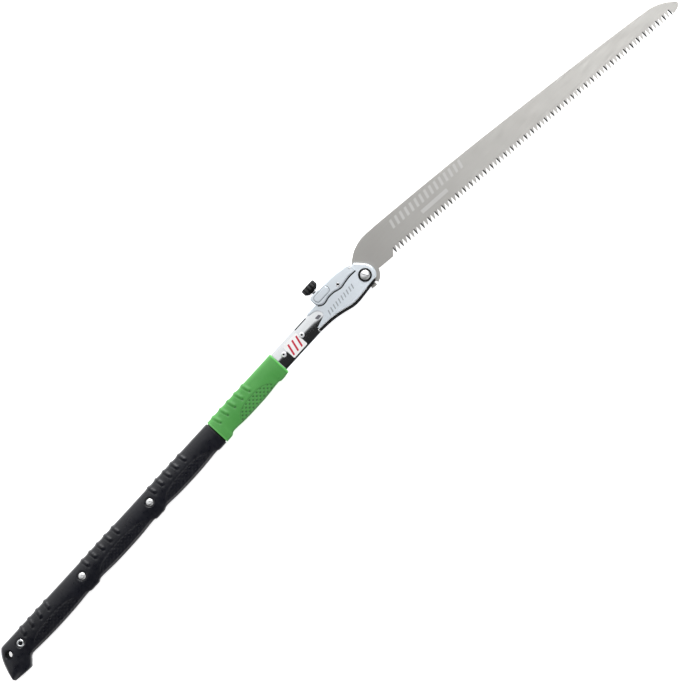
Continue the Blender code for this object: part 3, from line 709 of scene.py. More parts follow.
def relief(x, y, level):
    """How far the rubber stands out of its plain form at each point, in millimetres."""
    height = sum(RIM_HEIGHT * hump(x - rim, 0.8) for rim in RIM_BEADS)
    marks = np.where(x > GRIP_SEAM, 1.0, REAR_MARKS)
    for rear, front, count, lean in RIBS:
        for start in np.linspace(rear, front, count):
            lent = lean * (SPINE - y) / (SPINE - RIB_LOW)
            fade = smoothstep(RIB_LOW - 0.5, RIB_LOW + 4.5, y)
            side = smoothstep(SPINE, SPINE - 4, y)
            stand = RIB_HEIGHT - RIB_LOSS * side
            height += stand * hump(x - start - (lent + 0.4) * side, RIB_SPREAD) * fade
            height -= RIB_SHADOW * hump(x - start - lent + 2.4, 1.0) * fade * side
            foot = start + lean - 1.2
            height -= RIB_DIMPLE * marks * hump(x - foot, 1.3) * hump(y - RIB_LOW - 0.4, 1.6)
    on_side = smoothstep(7.0, 9.0, np.abs(level)) * (y < 9)
    for rear, front, arch in PANELS:
        across = (x - (rear + front) / 2) / ((front - rear) / 2)
        top = PANEL_FOOT + (arch - PANEL_FOOT) * np.sqrt(np.clip(1 - np.abs(across) ** 2.6, 0, 1))
        inside = smoothstep(-0.4, 0.5, top - y) * (np.abs(across) < 1) * on_side
        line = hump(top - y, 0.5) * (np.abs(across) < 0.97) * on_side
        height -= PANEL_SINK * inside + PANEL_EDGE * line
        row = np.round((y - DIMPLE_START[1]) / DIMPLE_ROW)
        dot_x = ((x - DIMPLE_START[0]) / DIMPLE_PITCH + 0.5 * (row % 2)) % 1 - 0.5
        dot_y = (y - DIMPLE_START[1]) / DIMPLE_ROW - row
        spot = hump(dot_x * DIMPLE_PITCH, 1.2) * hump(dot_y * DIMPLE_ROW, 1.05)
        height -= DIMPLE_DEPTH * marks * spot * smoothstep(0.3, 1.2, top - y) * inside
    return height


def drawn_ends(x, front, rear, front_ease):
    """How far a grip draws in at its ends: a rounded rim, and ahead of the front rim a sunk lip."""
    ease = np.where(x > (front + rear) / 2, front_ease, END_EASE)
    short = np.clip(ease - np.minimum(front - x, x - rear), 0, ease)
    rim = ease - np.sqrt(np.maximum(ease**2 - short**2, 0))
    return np.where(x > front + MM, SEAM_DEPTH, np.minimum(rim, SEAM_DEPTH))


def grip_body(name, low, high, belly_ease, ends):
    """A grip's outside through pairs of belly and spine points, with its ribs, panels and rims."""
    along = high - low
    heights = np.linalg.norm(along, axis=1)
    rings = []
    for start, way, height, ease in zip(low, along / heights[:, None], heights, belly_ease):
        points = section(height, ease)
        rings.append(np.hstack([start + way * points[:, 1:], points[:, :1]]))
    rings = np.array(rings)
    down = np.gradient(rings, axis=0)
    around = np.roll(rings, -1, 1) - np.roll(rings, 1, 1)
    out = np.cross(down, around)
    out /= np.linalg.norm(out, axis=2)[..., None]
    if out[len(out) // 2, 0] @ (0, 1, 0) < 0:
        out = -out
    x, y, level = rings[..., 0], rings[..., 1], rings[..., 2]
    stand = relief(x, y, level) - drawn_ends(x, *ends)
    return skin(name, rings + out * stand[..., None])


def hollow_out(grip, front, cavity_rear, slot_rear):
    """Cuts a grip's seat for the channel, and the blade's way in between its lips."""
    seat = CHANNEL_HALF + GAP
    cavity = block("cavity", (cavity_rear, CHANNEL_BELLY - GAP, -seat), (front, INNER_TOP + GAP, seat))
    slot = block("slot", (slot_rear, -40.0, -GRIP_SLOT_HALF), (front, 0.0, GRIP_SLOT_HALF))
    return cut(grip, cavity, slot)


def store_relief(obj, height):
    """Stores each point's height over the plain form, which the material's colour follows."""
    points = np.empty(len(obj.data.vertices) * 3)
    obj.data.vertices.foreach_get("co", points)
    x, y, level = (points.reshape(-1, 3) / MM - (0, 0, MID)).T
    stored = obj.data.attributes.new("relief", "FLOAT", "POINT")
    stored.data.foreach_set("value", height(x, y, level).astype(np.float32))


def with_highlight(height, highlight_share):
    """The relief to store where a share of the rubber gets a painted highlight."""
    return np.where(highlight_share > 0.03, HIGHLIGHT_MARK + (1 - HIGHLIGHT_MARK) * highlight_share, np.minimum(height, HIGHLIGHT_MARK))


def front_grip_painted_light(x, y, level):
    """The front grip's relief, with painted highlights on its two end rims and a painted shade line along the
    belly's edges.
    """
    highlight_share = sum(share * hump(x - rim, 0.9) for rim, share in zip(RIM_BEADS, RIM_HIGHLIGHT))
    # painted shade: a dark line along the belly's rounded edge
    belly_edge_shade = PAINTED_BELLY_SHADE * hump(y - np.interp(x, *BELLY.T) - 1.1, 0.7)
    return with_highlight(relief(x, y, level) - belly_edge_shade, highlight_share)


def rear_grip_painted_light(x, y, level):
    """The rear grip's relief, with painted shade in the seam ahead of it and a painted highlight along the
    belly's edges between its lobes.
    """
    # painted shade: the stored relief falls to -1 in the seam ahead of the grip
    height = relief(x, y, level) - smoothstep(GRIP_SEAM - 2.2, GRIP_SEAM - 1.4, x)
    # painted highlight: a pale line just above the belly's rounded edge
    highlight_share = hump(y - np.interp(x, *BELLY.T) - BELLY_HIGHLIGHT, 0.6) * smoothstep(7, 9, np.abs(level))
    highlight_share *= smoothstep(POMMEL_START, POMMEL_START + 4, x)
    for start, end, *_ in GRIP_BEADS:
        highlight_share *= 1 - smoothstep(end - 8, end - 2, x) * smoothstep(start + 8, start + 2, x)
    return with_highlight(height, highlight_share)


def hang_slant():
    """Shears the hang hole's pieces, which lean about the mid-plane."""
    lean, shift = HANG_SLANT, MID * MM * HANG_SLANT
    return Matrix(((1, 0, -lean, shift), (0, 1, lean, -shift), (0, 0, 1, 0), (0, 0, 0, 1)))


def make_front_grip():
    front, rear = GRIP_FRONT, GRIP_SEAM + SEAM_HALF
    low, high = straight_stations(front, rear)
    ease = np.full(len(low), BELLY_EDGE)
    grip = grip_body("front_grip", low, high, ease, (front, rear, FRONT_EASE))
    hollow_out(grip, front + OVERCUT, rear - OVERCUT, rear - OVERCUT - 1)
    store_relief(grip, front_grip_painted_light)
    dress(grip, GREEN_RUBBER, "handle", "grip_front", smooth=50)


def make_rear_grip():
    front = GRIP_SEAM - SEAM_HALF
    low, high = straight_stations(front, POMMEL_START)
    lip = [(front + 2 * SEAM_HALF - 0.05, 0), (front + 2 * MM, 0)] + low[0] * (0, 1)
    hook_low, hook_high = pommel_stations()
    low = np.concatenate([lip, low, hook_low])
    high = np.concatenate([lip * (1, 0) + (0, SPINE), high, hook_high])
    ease = BELLY_EDGE + HOOK_EDGE * smoothstep(-618, -624, low[:, 0]) * smoothstep(-640, -633, low[:, 0])
    grip = grip_body("rear_grip", low, high, ease, (front, NO_END, END_EASE))
    hollow_out(grip, front + OVERCUT, CHANNEL_ENDS[0] - GAP, SLOT_REAR)
    seats = []
    for place, bore in (*((screw, 3.2) for screw in SCREWS), (EYELET, 3.8)):
        mouth = [(RECESS_R + 1.2, 20.0), (RECESS_R + 1.0, 13.4), (RECESS_R, 12.6)]
        profile = [*mouth, (RECESS_R, RECESS_FLOOR), (bore, RECESS_FLOOR)]
        seats.append(turned("seat", mirrored(profile), place))
    x, y, radius = HANG_HOLE
    mouth = [(radius + 2.2, 20.0), (radius + 1.3, 13.2), (radius + 0.4, 12.4), (radius, 11.4)]
    seats.append(turned("hang", mirrored(mouth), (x, y)))
    seats[-1].data.transform(hang_slant())
    cut(grip, *seats)
    store_relief(grip, rear_grip_painted_light)
    dress(grip, BLACK_RUBBER, "handle", "grip_rear", smooth=50)
    # painted shade: a matte dark sleeve inside the slanting hang hole darkens its wall
    corners = rectangle(radius - 0.35, -11.6, radius + 0.1, 11.6)
    shade_sleeve = turned("hang_hole_shade_sleeve", corners, (x, y), wrap=True)
    shade_sleeve.data.transform(hang_slant())
    dress(shade_sleeve, HOLE_SHADE, "handle", slot="black_rubber")


# ---------------------------------------------------------------- handle channel and what holds it

def neck_swell(y, top=NECK_TOP, ridge=NECK_RIDGE[0][1]):
    """How far the neck's side stands out at a height: most at its ridge, and not at all at its edges."""
    reach = np.where(y < ridge, ridge - CHANNEL_BELLY, top - CHANNEL_CORNER - ridge)
    return NECK_CROWN * (1 - ((y - ridge) / reach) ** 2)


def channel_section(top, crowned, ridge):
    """One closed U: up one side, over the spine, down the other, and back inside."""
    shoulder, flat = top - CHANNEL_CORNER, CHANNEL_HALF - CHANNEL_CORNER

    def line(radius, lip):
        rounded = CHANNEL_BELLY + LIP_ROUND * (1 - np.cos(np.radians(np.linspace(0, 90, 8))))
        foot = np.concatenate([rounded, np.linspace(CHANNEL_BELLY + LIP_ROUND, shoulder, 24)[1:-1]])
        short = np.clip(LIP_ROUND - foot + CHANNEL_BELLY, 0, LIP_ROUND)
        out = crowned * neck_swell(foot, top, ridge) - lip * (LIP_ROUND - np.sqrt(LIP_ROUND**2 - short**2))
        near = [(y, -flat - radius - s) for y, s in zip(foot, out)]
        over = arc(radius, -90, 0, 10, (shoulder, -flat)) + arc(radius, 0, 90, 10, (shoulder, flat))
        return near + over + [(y, -w) for y, w in near[::-1]]

    return line(CHANNEL_CORNER, 1) + line(CHANNEL_CORNER - CHANNEL_WALL, 0)[::-1]


def make_channel():
    rear, front = CHANNEL_ENDS
    stations = [(rear, INNER_TOP, 0), (GRIP_FRONT + GAP, INNER_TOP, 0)]
    stations += [(x, NECK_TOP, 1) for x in (GRIP_FRONT + 2 * GAP, *np.linspace(-96.0, front, 20))]
    rings = []
    for x, top, crowned in stations:
        ridge = np.interp(x, *zip(*NECK_RIDGE))
        rings.append([(x, y, w) for y, w in channel_section(top, crowned, ridge)])
    channel = skin("channel", rings)
    cutters = [block("notch", (-89.0, -30.0, -30.0), (0.0, -2.9, 30.0)), block("seam", *SPINE_SEAM)]
    cutters += [sheet("crimp", CRIMP, side * (CHANNEL_HALF - 0.2), side * 12.0) for side in (1, -1)]
    cutters += [drill(1.7, place) for place in NECK_RIVETS]
    cutters += [drill(3.1, place) for place in SCREWS]
    cut(channel, *cutters, drill(3.6, EYELET))
    dress(channel, CHROME, "handle", "handle_channel", smooth=30)
    # painted shade: a thin dark strip deep in the seam cut through the spine's corner
    low, high = SPINE_SEAM
    seam = block("spine_seam_shade", low, (high[0], high[1], low[2] + 0.1))
    dress(seam, BLACK_PLASTIC_AND_SHADE, "handle")
    for side, suffix in SIDES:
        levels = (side * (CHANNEL_HALF - 0.25), side * (CHANNEL_HALF - 0.1))
        floor = sheet(f"crimp_floor_{suffix}", CRIMP, *levels)
        dress(floor, CRIMP_FLOOR, "handle", slot="chrome")


def wrapped_film(name, look, y_range, middle, half_width, corner, levels):
    """A film that follows the neck's swell. Its middle may slant, and its corners are rounded."""
    y = np.linspace(*y_range, 24)
    inset = np.clip(corner - np.minimum(y - y_range[0], y_range[1] - y), 0, corner)
    width = half_width - corner + np.sqrt(corner**2 - inset**2)
    rings = []
    for height, x, wide in zip(y, np.interp(y, y_range, middle), width):
        seat = CHANNEL_HALF + neck_swell(height)
        low, high = (seat + level for level in levels)
        rings.append([(across, height, level) for across, level in rectangle(x - wide, low, x + wide, high)])
    return dress(skin(name, rings), look, "handle", slot="label_film")


def make_label():
    low, high = LABEL
    middle, half_width = (low[0] + high[0]) / 2, (high[0] - low[0]) / 2
    y_range = (low[1], high[1])
    label = wrapped_film("label", LABEL_FILM, y_range, (middle, middle), half_width, 1.2, (0.02, 0.12))
    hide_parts("neck_label")
    for index in range(3):
        foot = middle + 7.2 * (index - 1) - 2.0
        name, slant = f"label_stripe_{index + 1}", (foot, foot + 4.0)
        wrapped_film(name, LABEL_INK, (-2.6, 12.0), slant, 1.25, 0.5, (0.1, 0.16))


def make_rivets():
    seat = CHANNEL_HALF + GAP
    rim = [(1.25, 9.4), (1.6, 9.9), (2.9, 9.8), (3.5, 9.2), (3.5, seat), (1.6, seat)]
    for place, spot in zip(("front", "rear"), NECK_RIVETS):
        rivet = turned(f"rivet_{place}", mirrored([(AXIS, 6.0), (1.25, 6.0), *eased(rim, 0.4, 4)]), spot)
        dress(rivet, SATIN_STEEL, "handle", f"neck_rivet_{place}", slot="bright_steel")
        shade_plugs(f"rivet_{place}", spot, 1.2, 9.0)


def shade_plugs(name, place, radius, level):
    """Dark plugs deep in a hollow rivet or pin, on both sides: painted shade in the hollow."""
    for side, suffix in SIDES:
        profile = rectangle(AXIS, level * side, radius, (level - 0.4) * side)
        dress(turned(f"{name}_plug_{suffix}", profile, place), BLACK_OXIDE_AND_SHADE, "handle")


def make_grip_fasteners():
    seat = RECESS_FLOOR + GAP
    dome = [(4.6 * math.sin(a), 12.15 + 1.15 * math.cos(a)) for a in np.radians(np.linspace(1, 88, 14))]
    dome += [(4.6, seat + 0.2), (4.4, seat)]
    for place, spot in zip(("front", "rear"), SCREWS):
        screw = turned(f"screw_{place}", dome + [(1.9, seat), (1.9, -9.0), (AXIS, -9.0)], spot)
        hexagon = turned("hex", [(1.75, 15.0), (1.75, 12.2)], spot, steps=6)
        cut(screw, hexagon)
        dress(screw, SATIN_STEEL, "handle", f"grip_screw_{place}", slot="bright_steel")
        back = [(r, -h) for r, h in dome[::-1]]
        inside = [(AXIS, -10.5), (2.1, -10.5), (2.1, 11.0), (2.9, 11.0), (2.9, -seat)]
        sleeve = turned(f"sleeve_nut_{place}", inside + back, spot)
        dress(sleeve, SATIN_STEEL, "handle", f"grip_sleeve_nut_{place}", slot="bright_steel")
    lip = [(2.45, 12.2), (2.9, 12.9), (3.7, 13.2), (4.6, 12.8), (5.0, 12.2), (5.0, seat), (3.4, seat)]
    lip = eased(lip, 0.35, 4)
    eyelet = turned("eyelet", [(AXIS, 5.0), (2.45, 5.0), *mirrored(lip), (2.45, -5.0), (AXIS, -5.0)], EYELET)
    dress(eyelet, CHROME, "handle", "butt_eyelet")
    shade_plugs("eyelet", EYELET, 2.35, 10.8)


# ---------------------------------------------------------------- head

def head_outline():
    """The cheeks' outline, and which of its points lie against the guides or the neck."""
    nose = arc(HEAD_NOSE_R, *HEAD_NOSE_ARC, 40)
    front = curve_through([BELLY_LINE[-1], nose[0]], 3)[1:-1]
    shoulder = curve_through([nose[-1], (6.5, 14.6), SHOULDER_TIP], 6)[1:-1]
    top = eased([SHOULDER_TIP, (-1.5, CHEEK_TOP), (-86.0, CHEEK_TOP), HEAD_ARCH[0]], 0.8, 3)
    belly, arch = curve_through(BELLY_LINE, 6), [*curve_through(HEAD_ARCH, 8), PRONG_TIP]
    free = [*front, *nose, *shoulder, *top[:-1]]
    return np.array([*belly, *free, *arch]), np.array([1] * len(belly) + [0] * len(free) + [1] * len(arch))


def lock_bar_place():
    angle = math.radians(BAR_ANGLE)
    return BAR_MIDDLE_R * math.cos(angle), BAR_MIDDLE_R * math.sin(angle)


def make_head():
    outline, seated = head_outline()
    front = smoothstep(-3.0, 6.0, outline[:, 0])
    ease = EDGE_EASE + (NOSE_BEVEL - EDGE_EASE) * front
    ease = np.where(seated, BELLY_EASE, ease)
    drop = np.where(seated, BELLY_EASE, 1.3 + 0.5 * front)
    head = plate("head", outline, -CHEEK_HALF, CHEEK_HALF, ease, drop, 6)
    seat = CHANNEL_HALF + GAP
    cut(head, block("pocket", (-100, -40, -seat), (POCKET_FRONT, 40, seat)))
    join(head, plate("tongue", rectangle(*TONGUE), -6.2, 6.2, 1.0))
    slot = [(-160, -40), (40, -40), (40, 40), (WEB_FRONT, 40)]
    slot += [(WEB_FRONT, SLOT_CEILING), (-160, SLOT_CEILING)]
    bar_x, bar_y = lock_bar_place()
    cutters = [
        sheet("slot", slot, -SLOT_HALF, SLOT_HALF),
        block("bar_notch", (bar_x - 2.9, bar_y - 2.6, -20), (bar_x + 2.6, 40, 20)),
        drill(4.2),
        drill(2.65, LEVER_PIN),
        drill(3.6, (SPRING_X, 0), (12.6, 40.0), upright=True),
        drill(3.8, (KNOB_X, 0), (15.0, 40.0), upright=True),
    ]
    cutters += [drill(1.7, place) for place in NECK_RIVETS]
    edge = band([p for p in curve_through(LEVER_BELLY, 6) if p[1] < EDGE_GROOVE_TOP], *EDGE_GROOVE)
    for side, place in SIDES:
        floor = side * (CHEEK_HALF - GROOVE_DEPTH)
        cutters.append(sheet("edge_groove", edge, floor, side * 12.0))
        # painted shade: a thin dark sheet on the groove's floor along the lever's lower edge
        dress(sheet(f"lever_edge_shade_{place}", edge, floor, floor + side * 0.3), BLACK_PLASTIC_AND_SHADE, "handle")
    cut(head, *cutters, *panel_bars())
    dress(head, SATIN_CAST, "handle", "head_casting", smooth=32)


def panel_bars():
    """Cutters for a plain row of slanting grooves on both cheeks, and painted shade on the grooves' floors.
    """
    bars = []
    for side, place in SIDES:
        floor = side * (CHEEK_HALF - PANEL_DEPTH)
        for index, x in enumerate(np.arange(-64.0, -17.0, 4.8)):
            y = 1.6 + 0.02 * (x + 40)
            bar = [(x - 2.0, y - 3.1), (x - 0.3, y - 3.1), (x + 1.9, y + 3.1), (x + 0.2, y + 3.1)]
            bar = eased(bar, 0.5, 3, closed=True)
            bars.append(sheet("bar", bar, floor, side * 12.0))
            # painted shade: a darker sheet on each groove's floor
            mark = sheet(f"panel_{place}_{index + 1}", bar, floor, floor + side * 0.05)
            dress(mark, RECESS_SHADE, "handle", slot="satin_cast")
    return bars


def make_guides():
    line = [GUIDE_REAR, *BELLY_LINE]
    top = curve_through([(x, y - GAP) for x, y in line], 8)
    foot = curve_through([(x, y - GAP - np.interp(x, *zip(*GUIDE_DEPTH))) for x, y in line], 8)
    for side, place in SIDES:
        low, high = sorted((side * (SLOT_HALF + GAP), side * (CHEEK_HALF - GAP)))
        guide = plate(f"guide_{place}", foot + top[::-1], low, high, 0.3, steps=4)
        dress(guide, BLACK_PLASTIC_AND_SHADE, "handle", f"blade_guide_{place}")


def make_pivot():
    seat = CHEEK_HALF + GAP
    dome = [(5.9 * math.sin(a), 11.9 + 1.35 * math.cos(a)) for a in np.radians(np.linspace(1, 80, 12))]
    shank = [(6.15, 11.8), (6.3, 11.5), (6.3, seat), (4.0, seat), (4.0, -12.1), (3.6, -12.5), (AXIS, -12.5)]
    bolt = turned("bolt", dome + shank)
    cut(bolt, block("slot", (-9, -0.45, 11.9), (9, 0.45, 16), turn=BOLT_SLOT_TURN))
    dress(bolt, SATIN_STEEL, "handle", "pivot_bolt", slot="chrome")
    # painted shade: a dark sheet on the floor of the bolt's slot
    floor = block("bolt_slot_shade", (-5.2, -0.4, 11.8), (5.2, 0.4, 12.0), turn=BOLT_SLOT_TURN)
    dress(floor, CRIMP_FLOOR, "handle", slot="chrome")
    for place, low, high in (("near", seat, 12.2), ("far", -12.2, -seat)):
        edging = ring(f"ring_{place}", (6.5, 8.5), (low, high), 0.5, 5)
        dress(edging, BLACK_PLASTIC_AND_SHADE, "handle", f"pivot_ring_{place}", slot="black_oxide")
    outside = [(4.15, -seat), (6.3, -seat), (6.3, -12.9), (5.7, -GRIP_HALF), (AXIS, -GRIP_HALF)]
    nut = turned("nut", [(AXIS, -12.8), (4.15, -12.8), *eased(outside, 0.25, 3)])
    hole = [(0.9, -15.0), (0.9, -13.1)]
    cut(nut, *(turned("spanner_hole", hole, (x, 0), steps=32) for x in (-3.7, 3.7)))
    dress(nut, CHROME, "handle", "pivot_nut")
    washers = (
        ("bush", "pivot_bush", (4.2, 5.5), (-1.8, 1.8)),
        ("washer_near", "thrust_washer_near", (5.9, 9.5), (1.25, 1.85)),
        ("washer_far", "thrust_washer_far", (5.9, 9.5), (-1.85, -1.25)),
    )
    for place, node, radii, levels in washers:
        dress(ring(place, radii, levels, 0.15, 2), BRASS, "handle", node)


# ---------------------------------------------------------------- lever and knob

def make_lever():
    top, belly = curve_through(LEVER_TOP, 6), curve_through(LEVER_BELLY, 6)
    outline = np.array(top + belly)
    ease = 1.35 - 0.85 * smoothstep(-12.0, -7.0, outline[:, 0])
    lever = plate("lever", outline, -LEVER_HALF, LEVER_HALF, ease, steps=6)
    under = [(x, y - LEVER_TOP_WALL) for x, y in LEVER_TOP if -66.0 < x < TOP_WALL_END]
    rear = [(-80.0, 0.0), (-80.0, REAR_WALL_LOW), (-66.6, REAR_WALL_LOW), (-66.6, under[0][1])]
    front = [(TOP_WALL_END, under[-1][1]), (TOP_WALL_END, 40.0), (10.0, 40.0), (10.0, 0.0)]
    cut(lever, sheet("pocket", rear + under + front, -LEVER_INNER, LEVER_INNER))
    pad = eased(rectangle(*THUMB_PAD), 4.9, 8, closed=True)
    cut(lever, *(sheet("rim", pad, side * PAD_GROOVE, side * 14.0) for side in (1, -1)))
    inner = drawn_in(np.array(pad), inward(pad) * 0.8)
    pads = [plate("pad", inner, *sorted((side * 11.0, side * 12.95)), 0.6, 0.45, 4) for side in (1, -1)]
    boss = turned("boss", [(5.5, 25.5), (5.5, 29.5)], (KNOB_X, 0), upright=True)
    join(lever, boss, *pads)
    x, y = lock_bar_place()
    wide, tall = BAR_SIZE[0] / 2 + 0.15, BAR_SIZE[1] / 2 + 0.15
    cut(
        lever,
        drill(2.8, (KNOB_X, 0), (10.0, 60.0), upright=True),
        drill(2.65, LEVER_PIN),
        block("bar_seat", (x - wide, y - tall, -20), (x + wide, y + tall, 20), turn=BAR_ANGLE - 90),
    )
    dress(lever, SATIN_CAST, "lever", "lock_lever", smooth=32)
    for side, suffix in SIDES:
        # painted shade: a darker sheet on the floor of the groove around the thumb pad
        floor = sheet(f"pad_groove_shade_{suffix}", pad, side * PAD_GROOVE, side * (PAD_GROOVE + 0.1))
        dress(floor, RECESS_SHADE, "lever", slot="satin_cast")
    wide, tall = BAR_SIZE[0] / 2, BAR_SIZE[1] / 2
    bar = block("bar", (x - wide, y - tall, -12.5), (x + wide, y + tall, 12.5), turn=BAR_ANGLE - 90, ease=0.3)
    dress(bar, SATIN_STEEL, "lever", "lock_bar", slot="bright_steel")
    rim = eased([(1.3, 12.2), (1.5, 12.9), (2.1, 13.0), (2.5, 12.4), (2.5, 11.0)], 0.3, 4)
    pin = turned("pin", mirrored([(AXIS, 9.0), (1.3, 9.0), *rim]), LEVER_PIN)
    dress(pin, BRIGHT_STEEL, "handle", "lever_pin")
    shade_plugs("pin", LEVER_PIN, 1.25, 12.0)


def make_spring():
    turns, low, high, coil, wire = 5, 13.3, 25.6, 2.45, 0.4
    angles = np.linspace(0, turns * math.tau, turns * 40 + 1)
    rise = low + (high - low) * angles / angles[-1]
    path = np.stack([SPRING_X + coil * np.cos(angles), rise, coil * np.sin(angles)], -1)
    spring = dress(tube("spring", path, wire), SPRING_STEEL, "handle", "lever_spring", smooth=60)
    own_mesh(spring)


def knob_painted_shade(x, y, level):
    """The knob's painted shade: none on the ridges of its flutes, deepening down to their valleys and its
    underside.
    """
    radius = np.hypot(x - KNOB_X, level)
    return np.clip((radius - KNOB_R) / FLUTE_DEPTH, -1, 0) - smoothstep(38.0, 36.0, y)


def make_knob():
    angles = np.linspace(0, math.tau, FLUTES * 16, endpoint=False)
    flute = FLUTE_DEPTH * np.abs(np.cos(FLUTES * angles / 2)) ** 0.7
    shape = np.stack([np.cos(angles), np.sin(angles)], -1)
    rim = KNOB_R - FLUTE_DEPTH + flute
    rings = [
        (0.0, 43.2, 0.0), (6.6, 43.2, 0.0), (7.2, 43.9, 0.0), (7.9, 44.0, 0.0), (8.8, 43.95, 0.15),
        (9.6, 43.6, 0.6), (KNOB_R, 42.8, 1.0), (KNOB_R, 37.2, 1.0), (9.9, 36.4, 0.9), (9.4, 36.0, 0.6),
        (8.2, 34.9, 0.3), (6.7, 33.7, 0.0), (5.9, 33.25, 0.0), (5.5, 33.2, 0.0), (0.0, 33.2, 0.0),
    ]
    made = []
    for radius, height, fluted in rings:
        reach = (radius - (KNOB_R - rim) * fluted) if radius else np.full(len(angles), AXIS)
        flat = shape * np.broadcast_to(reach, len(angles))[:, None]
        made.append(np.stack([KNOB_X + flat[:, 0], np.full(len(angles), height), flat[:, 1]], -1))
    knob = skin("knob", made)
    cut(knob, drill(2.6, (KNOB_X, 0), (20.0, 60.0), upright=True))
    store_relief(knob, knob_painted_shade)
    dress(knob, KNOB_PLASTIC, "knob", "safety_knob", smooth=38)
    thread = [(AXIS, 21.6), (2.0, 21.6)]
    for height in np.arange(22.0, 40.0, 0.8):
        thread += [(2.1, height), (2.45, height + 0.3), (2.45, height + 0.45), (2.1, height + 0.75)]
    thread += [(2.45, 40.4), (2.2, 43.0), (AXIS, 43.0)]
    stud = turned("stud", thread, (KNOB_X, 0), upright=True, steps=48)
    dress(stud, BLACK_OXIDE_AND_SHADE, "knob", "knob_stud", smooth=40)
    washer = ring("washer", (2.75, 4.6), (32.1, 32.9), 0.2, 3, (KNOB_X, 0), upright=True)
    dress(washer, SPRING_STEEL, "knob_washer", "knob_washer", slot="chrome")


# ---------------------------------------------------------------- blade

def tooth_line(s):
    """(gullet, tip) heights at a place along the blade: the row bows gently and its teeth grow shorter."""
    along = (s - 48.0) / 450.0
    return 2.7 - 8.3 * along + 2.3 * along * along, -5.6 - 5.4 * along - 0.6 * along * along


def tooth_points():
    """The tooth row, as outline points with the way that each side's face draws back from them.

    A row is (s, t, near draw s, near draw t, far draw s, far draw t).
    Every other tooth is ground from the near side.
    """
    first, last = TOOTH_ROW
    drawn = ((1.5, 0.5), (1.45, 2.5), (0.75, 2.4), (-0.75, 0.55))
    points = []
    for i in range(TEETH):
        share = i / (TEETH - 1)
        front = first + (last - first) * (share * (1 + TOOTH_GRADE) - share * share * TOOTH_GRADE)
        pitch = (last - first) / (TEETH - 1) * (1 + TOOTH_GRADE - 2 * TOOTH_GRADE * share)
        gullet, tip = tooth_line(front)
        next_gullet = tooth_line(front + pitch)[0]
        corners = [(front - 0.15, gullet), (front + 0.45, tip), (front + 1.2, tip + 0.3)]
        corners.append((front + pitch - 1.0, next_gullet - 0.3))
        for corner, way in zip(corners, drawn):
            points.append((*corner, *way, 0, 0) if i % 2 == 0 else (*corner, 0, 0, *way))
    return points[:-1] + [(498.8, -4.6, 0, 0, 0, 0)]


def tang():
    """The tang around the pivot: stop shoulder, relieved back, two lobes and the notch between them."""
    back = arc(TANG_BACK_R, 107, 257, 60)
    rear_lobe = arc(TANG_R, 257, 281.5, 14)
    notch = arc(15.0, 281.5, 290.5, 6)
    front_lobe = arc(TANG_R - 0.1, 291, 344, 26)
    return [(-5.6, 18.6), *back, *rear_lobe, *notch, *front_lobe]


def blade_place():
    return Matrix.Rotation(math.radians(BLADE_TILT), 4, "Z")


def mark_facets(mesh):
    """Stores which faces are the teeth's ground leading edges, as relief that darkens them with painted
    shade, deeper towards the tip.
    """
    stored = mesh.attributes.new("relief", "FLOAT", "FACE")
    for face, value in zip(mesh.polygons, stored.data):
        s, t, _ = face.center / MM
        leading = face.normal.x < -0.5 and 0.05 < abs(face.normal.z) < 0.95
        if leading and TOOTH_ROW[0] - 1 < s < TOOTH_ROW[1] + 1 and t < 4:
            value.value = -0.4 - 0.5 * s / TOOTH_ROW[1]


def shade_facets(blade):
    """Painted shade on the marked facets: thin dark plates that stand just off them."""
    work = bmesh.new()
    work.from_mesh(blade)
    marked = work.faces.layers.float["relief"]
    bmesh.ops.delete(work, geom=[face for face in work.faces if face[marked] == 0], context="FACES")
    for point in work.verts:
        point.co += point.normal * SKIN_GAP * MM
    bmesh.ops.solidify(work, geom=work.faces[:], thickness=SKIN_GAP * MM / 2)
    mesh = bpy.data.meshes.new("tooth_facet_shade")
    work.to_mesh(mesh)
    work.free()
    mesh.transform(blade_place())
    dress(add_object("tooth_facet_shade", mesh), TOOTH_SHADE, "blade", slot="blade_steel")


def make_blade():
    spine = curve_through(BLADE_SPINE, 8)
    plain = [*spine, *tang(), *HEEL]
    tip = curve_through(BLADE_TIP, 6)[:-1]
    rows = [(*p, 0, 0, 0, 0) for p in plain] + tooth_points() + [(*p, 0, 0, 0, 0) for p in tip]
    rows = np.array(rows)
    outline, near, far = rows[:, :2], rows[:, 2:4], rows[:, 4:]
    cut_near, cut_far = np.any(near, axis=1), np.any(far, axis=1)
    ground = cut_near | cut_far
    inside = inward(outline)
    ease = np.where(ground, 0.0, 0.12)
    ease[: len(spine)] = 1.3
    ease[: len(spine)] *= smoothstep(0, 12, np.arange(len(spine))) * 0.9 + 0.1
    drop = np.where(ground, 0.0, 0.12)
    drop[: len(spine)] = 0.22
    draw = inside * ease[:, None]
    edge = BLADE_HALF - np.maximum(drop, 0.05)
    edge_near = np.select([cut_near, cut_far], [-0.9, 0.95], edge)
    edge_far = np.select([cut_near, cut_far], [-0.95, 0.9], -edge)
    rings = [
        np.hstack([outline + far + draw, np.full((len(rows), 1), -BLADE_HALF)]),
        np.hstack([outline, edge_far[:, None]]),
        np.hstack([outline, edge_near[:, None]]),
        np.hstack([outline + near + draw, np.full((len(rows), 1), BLADE_HALF)]),
    ]
    blade = skin("saw_blade", rings)
    cut(blade, drill(BLADE_BORE_R, reach=(5.0, -5.0)))
    mark_facets(blade.data)
    shade_facets(blade.data)
    blade.data.transform(blade_place())
    dress(blade, BLADE_STEEL, "blade", "blade", smooth=5)


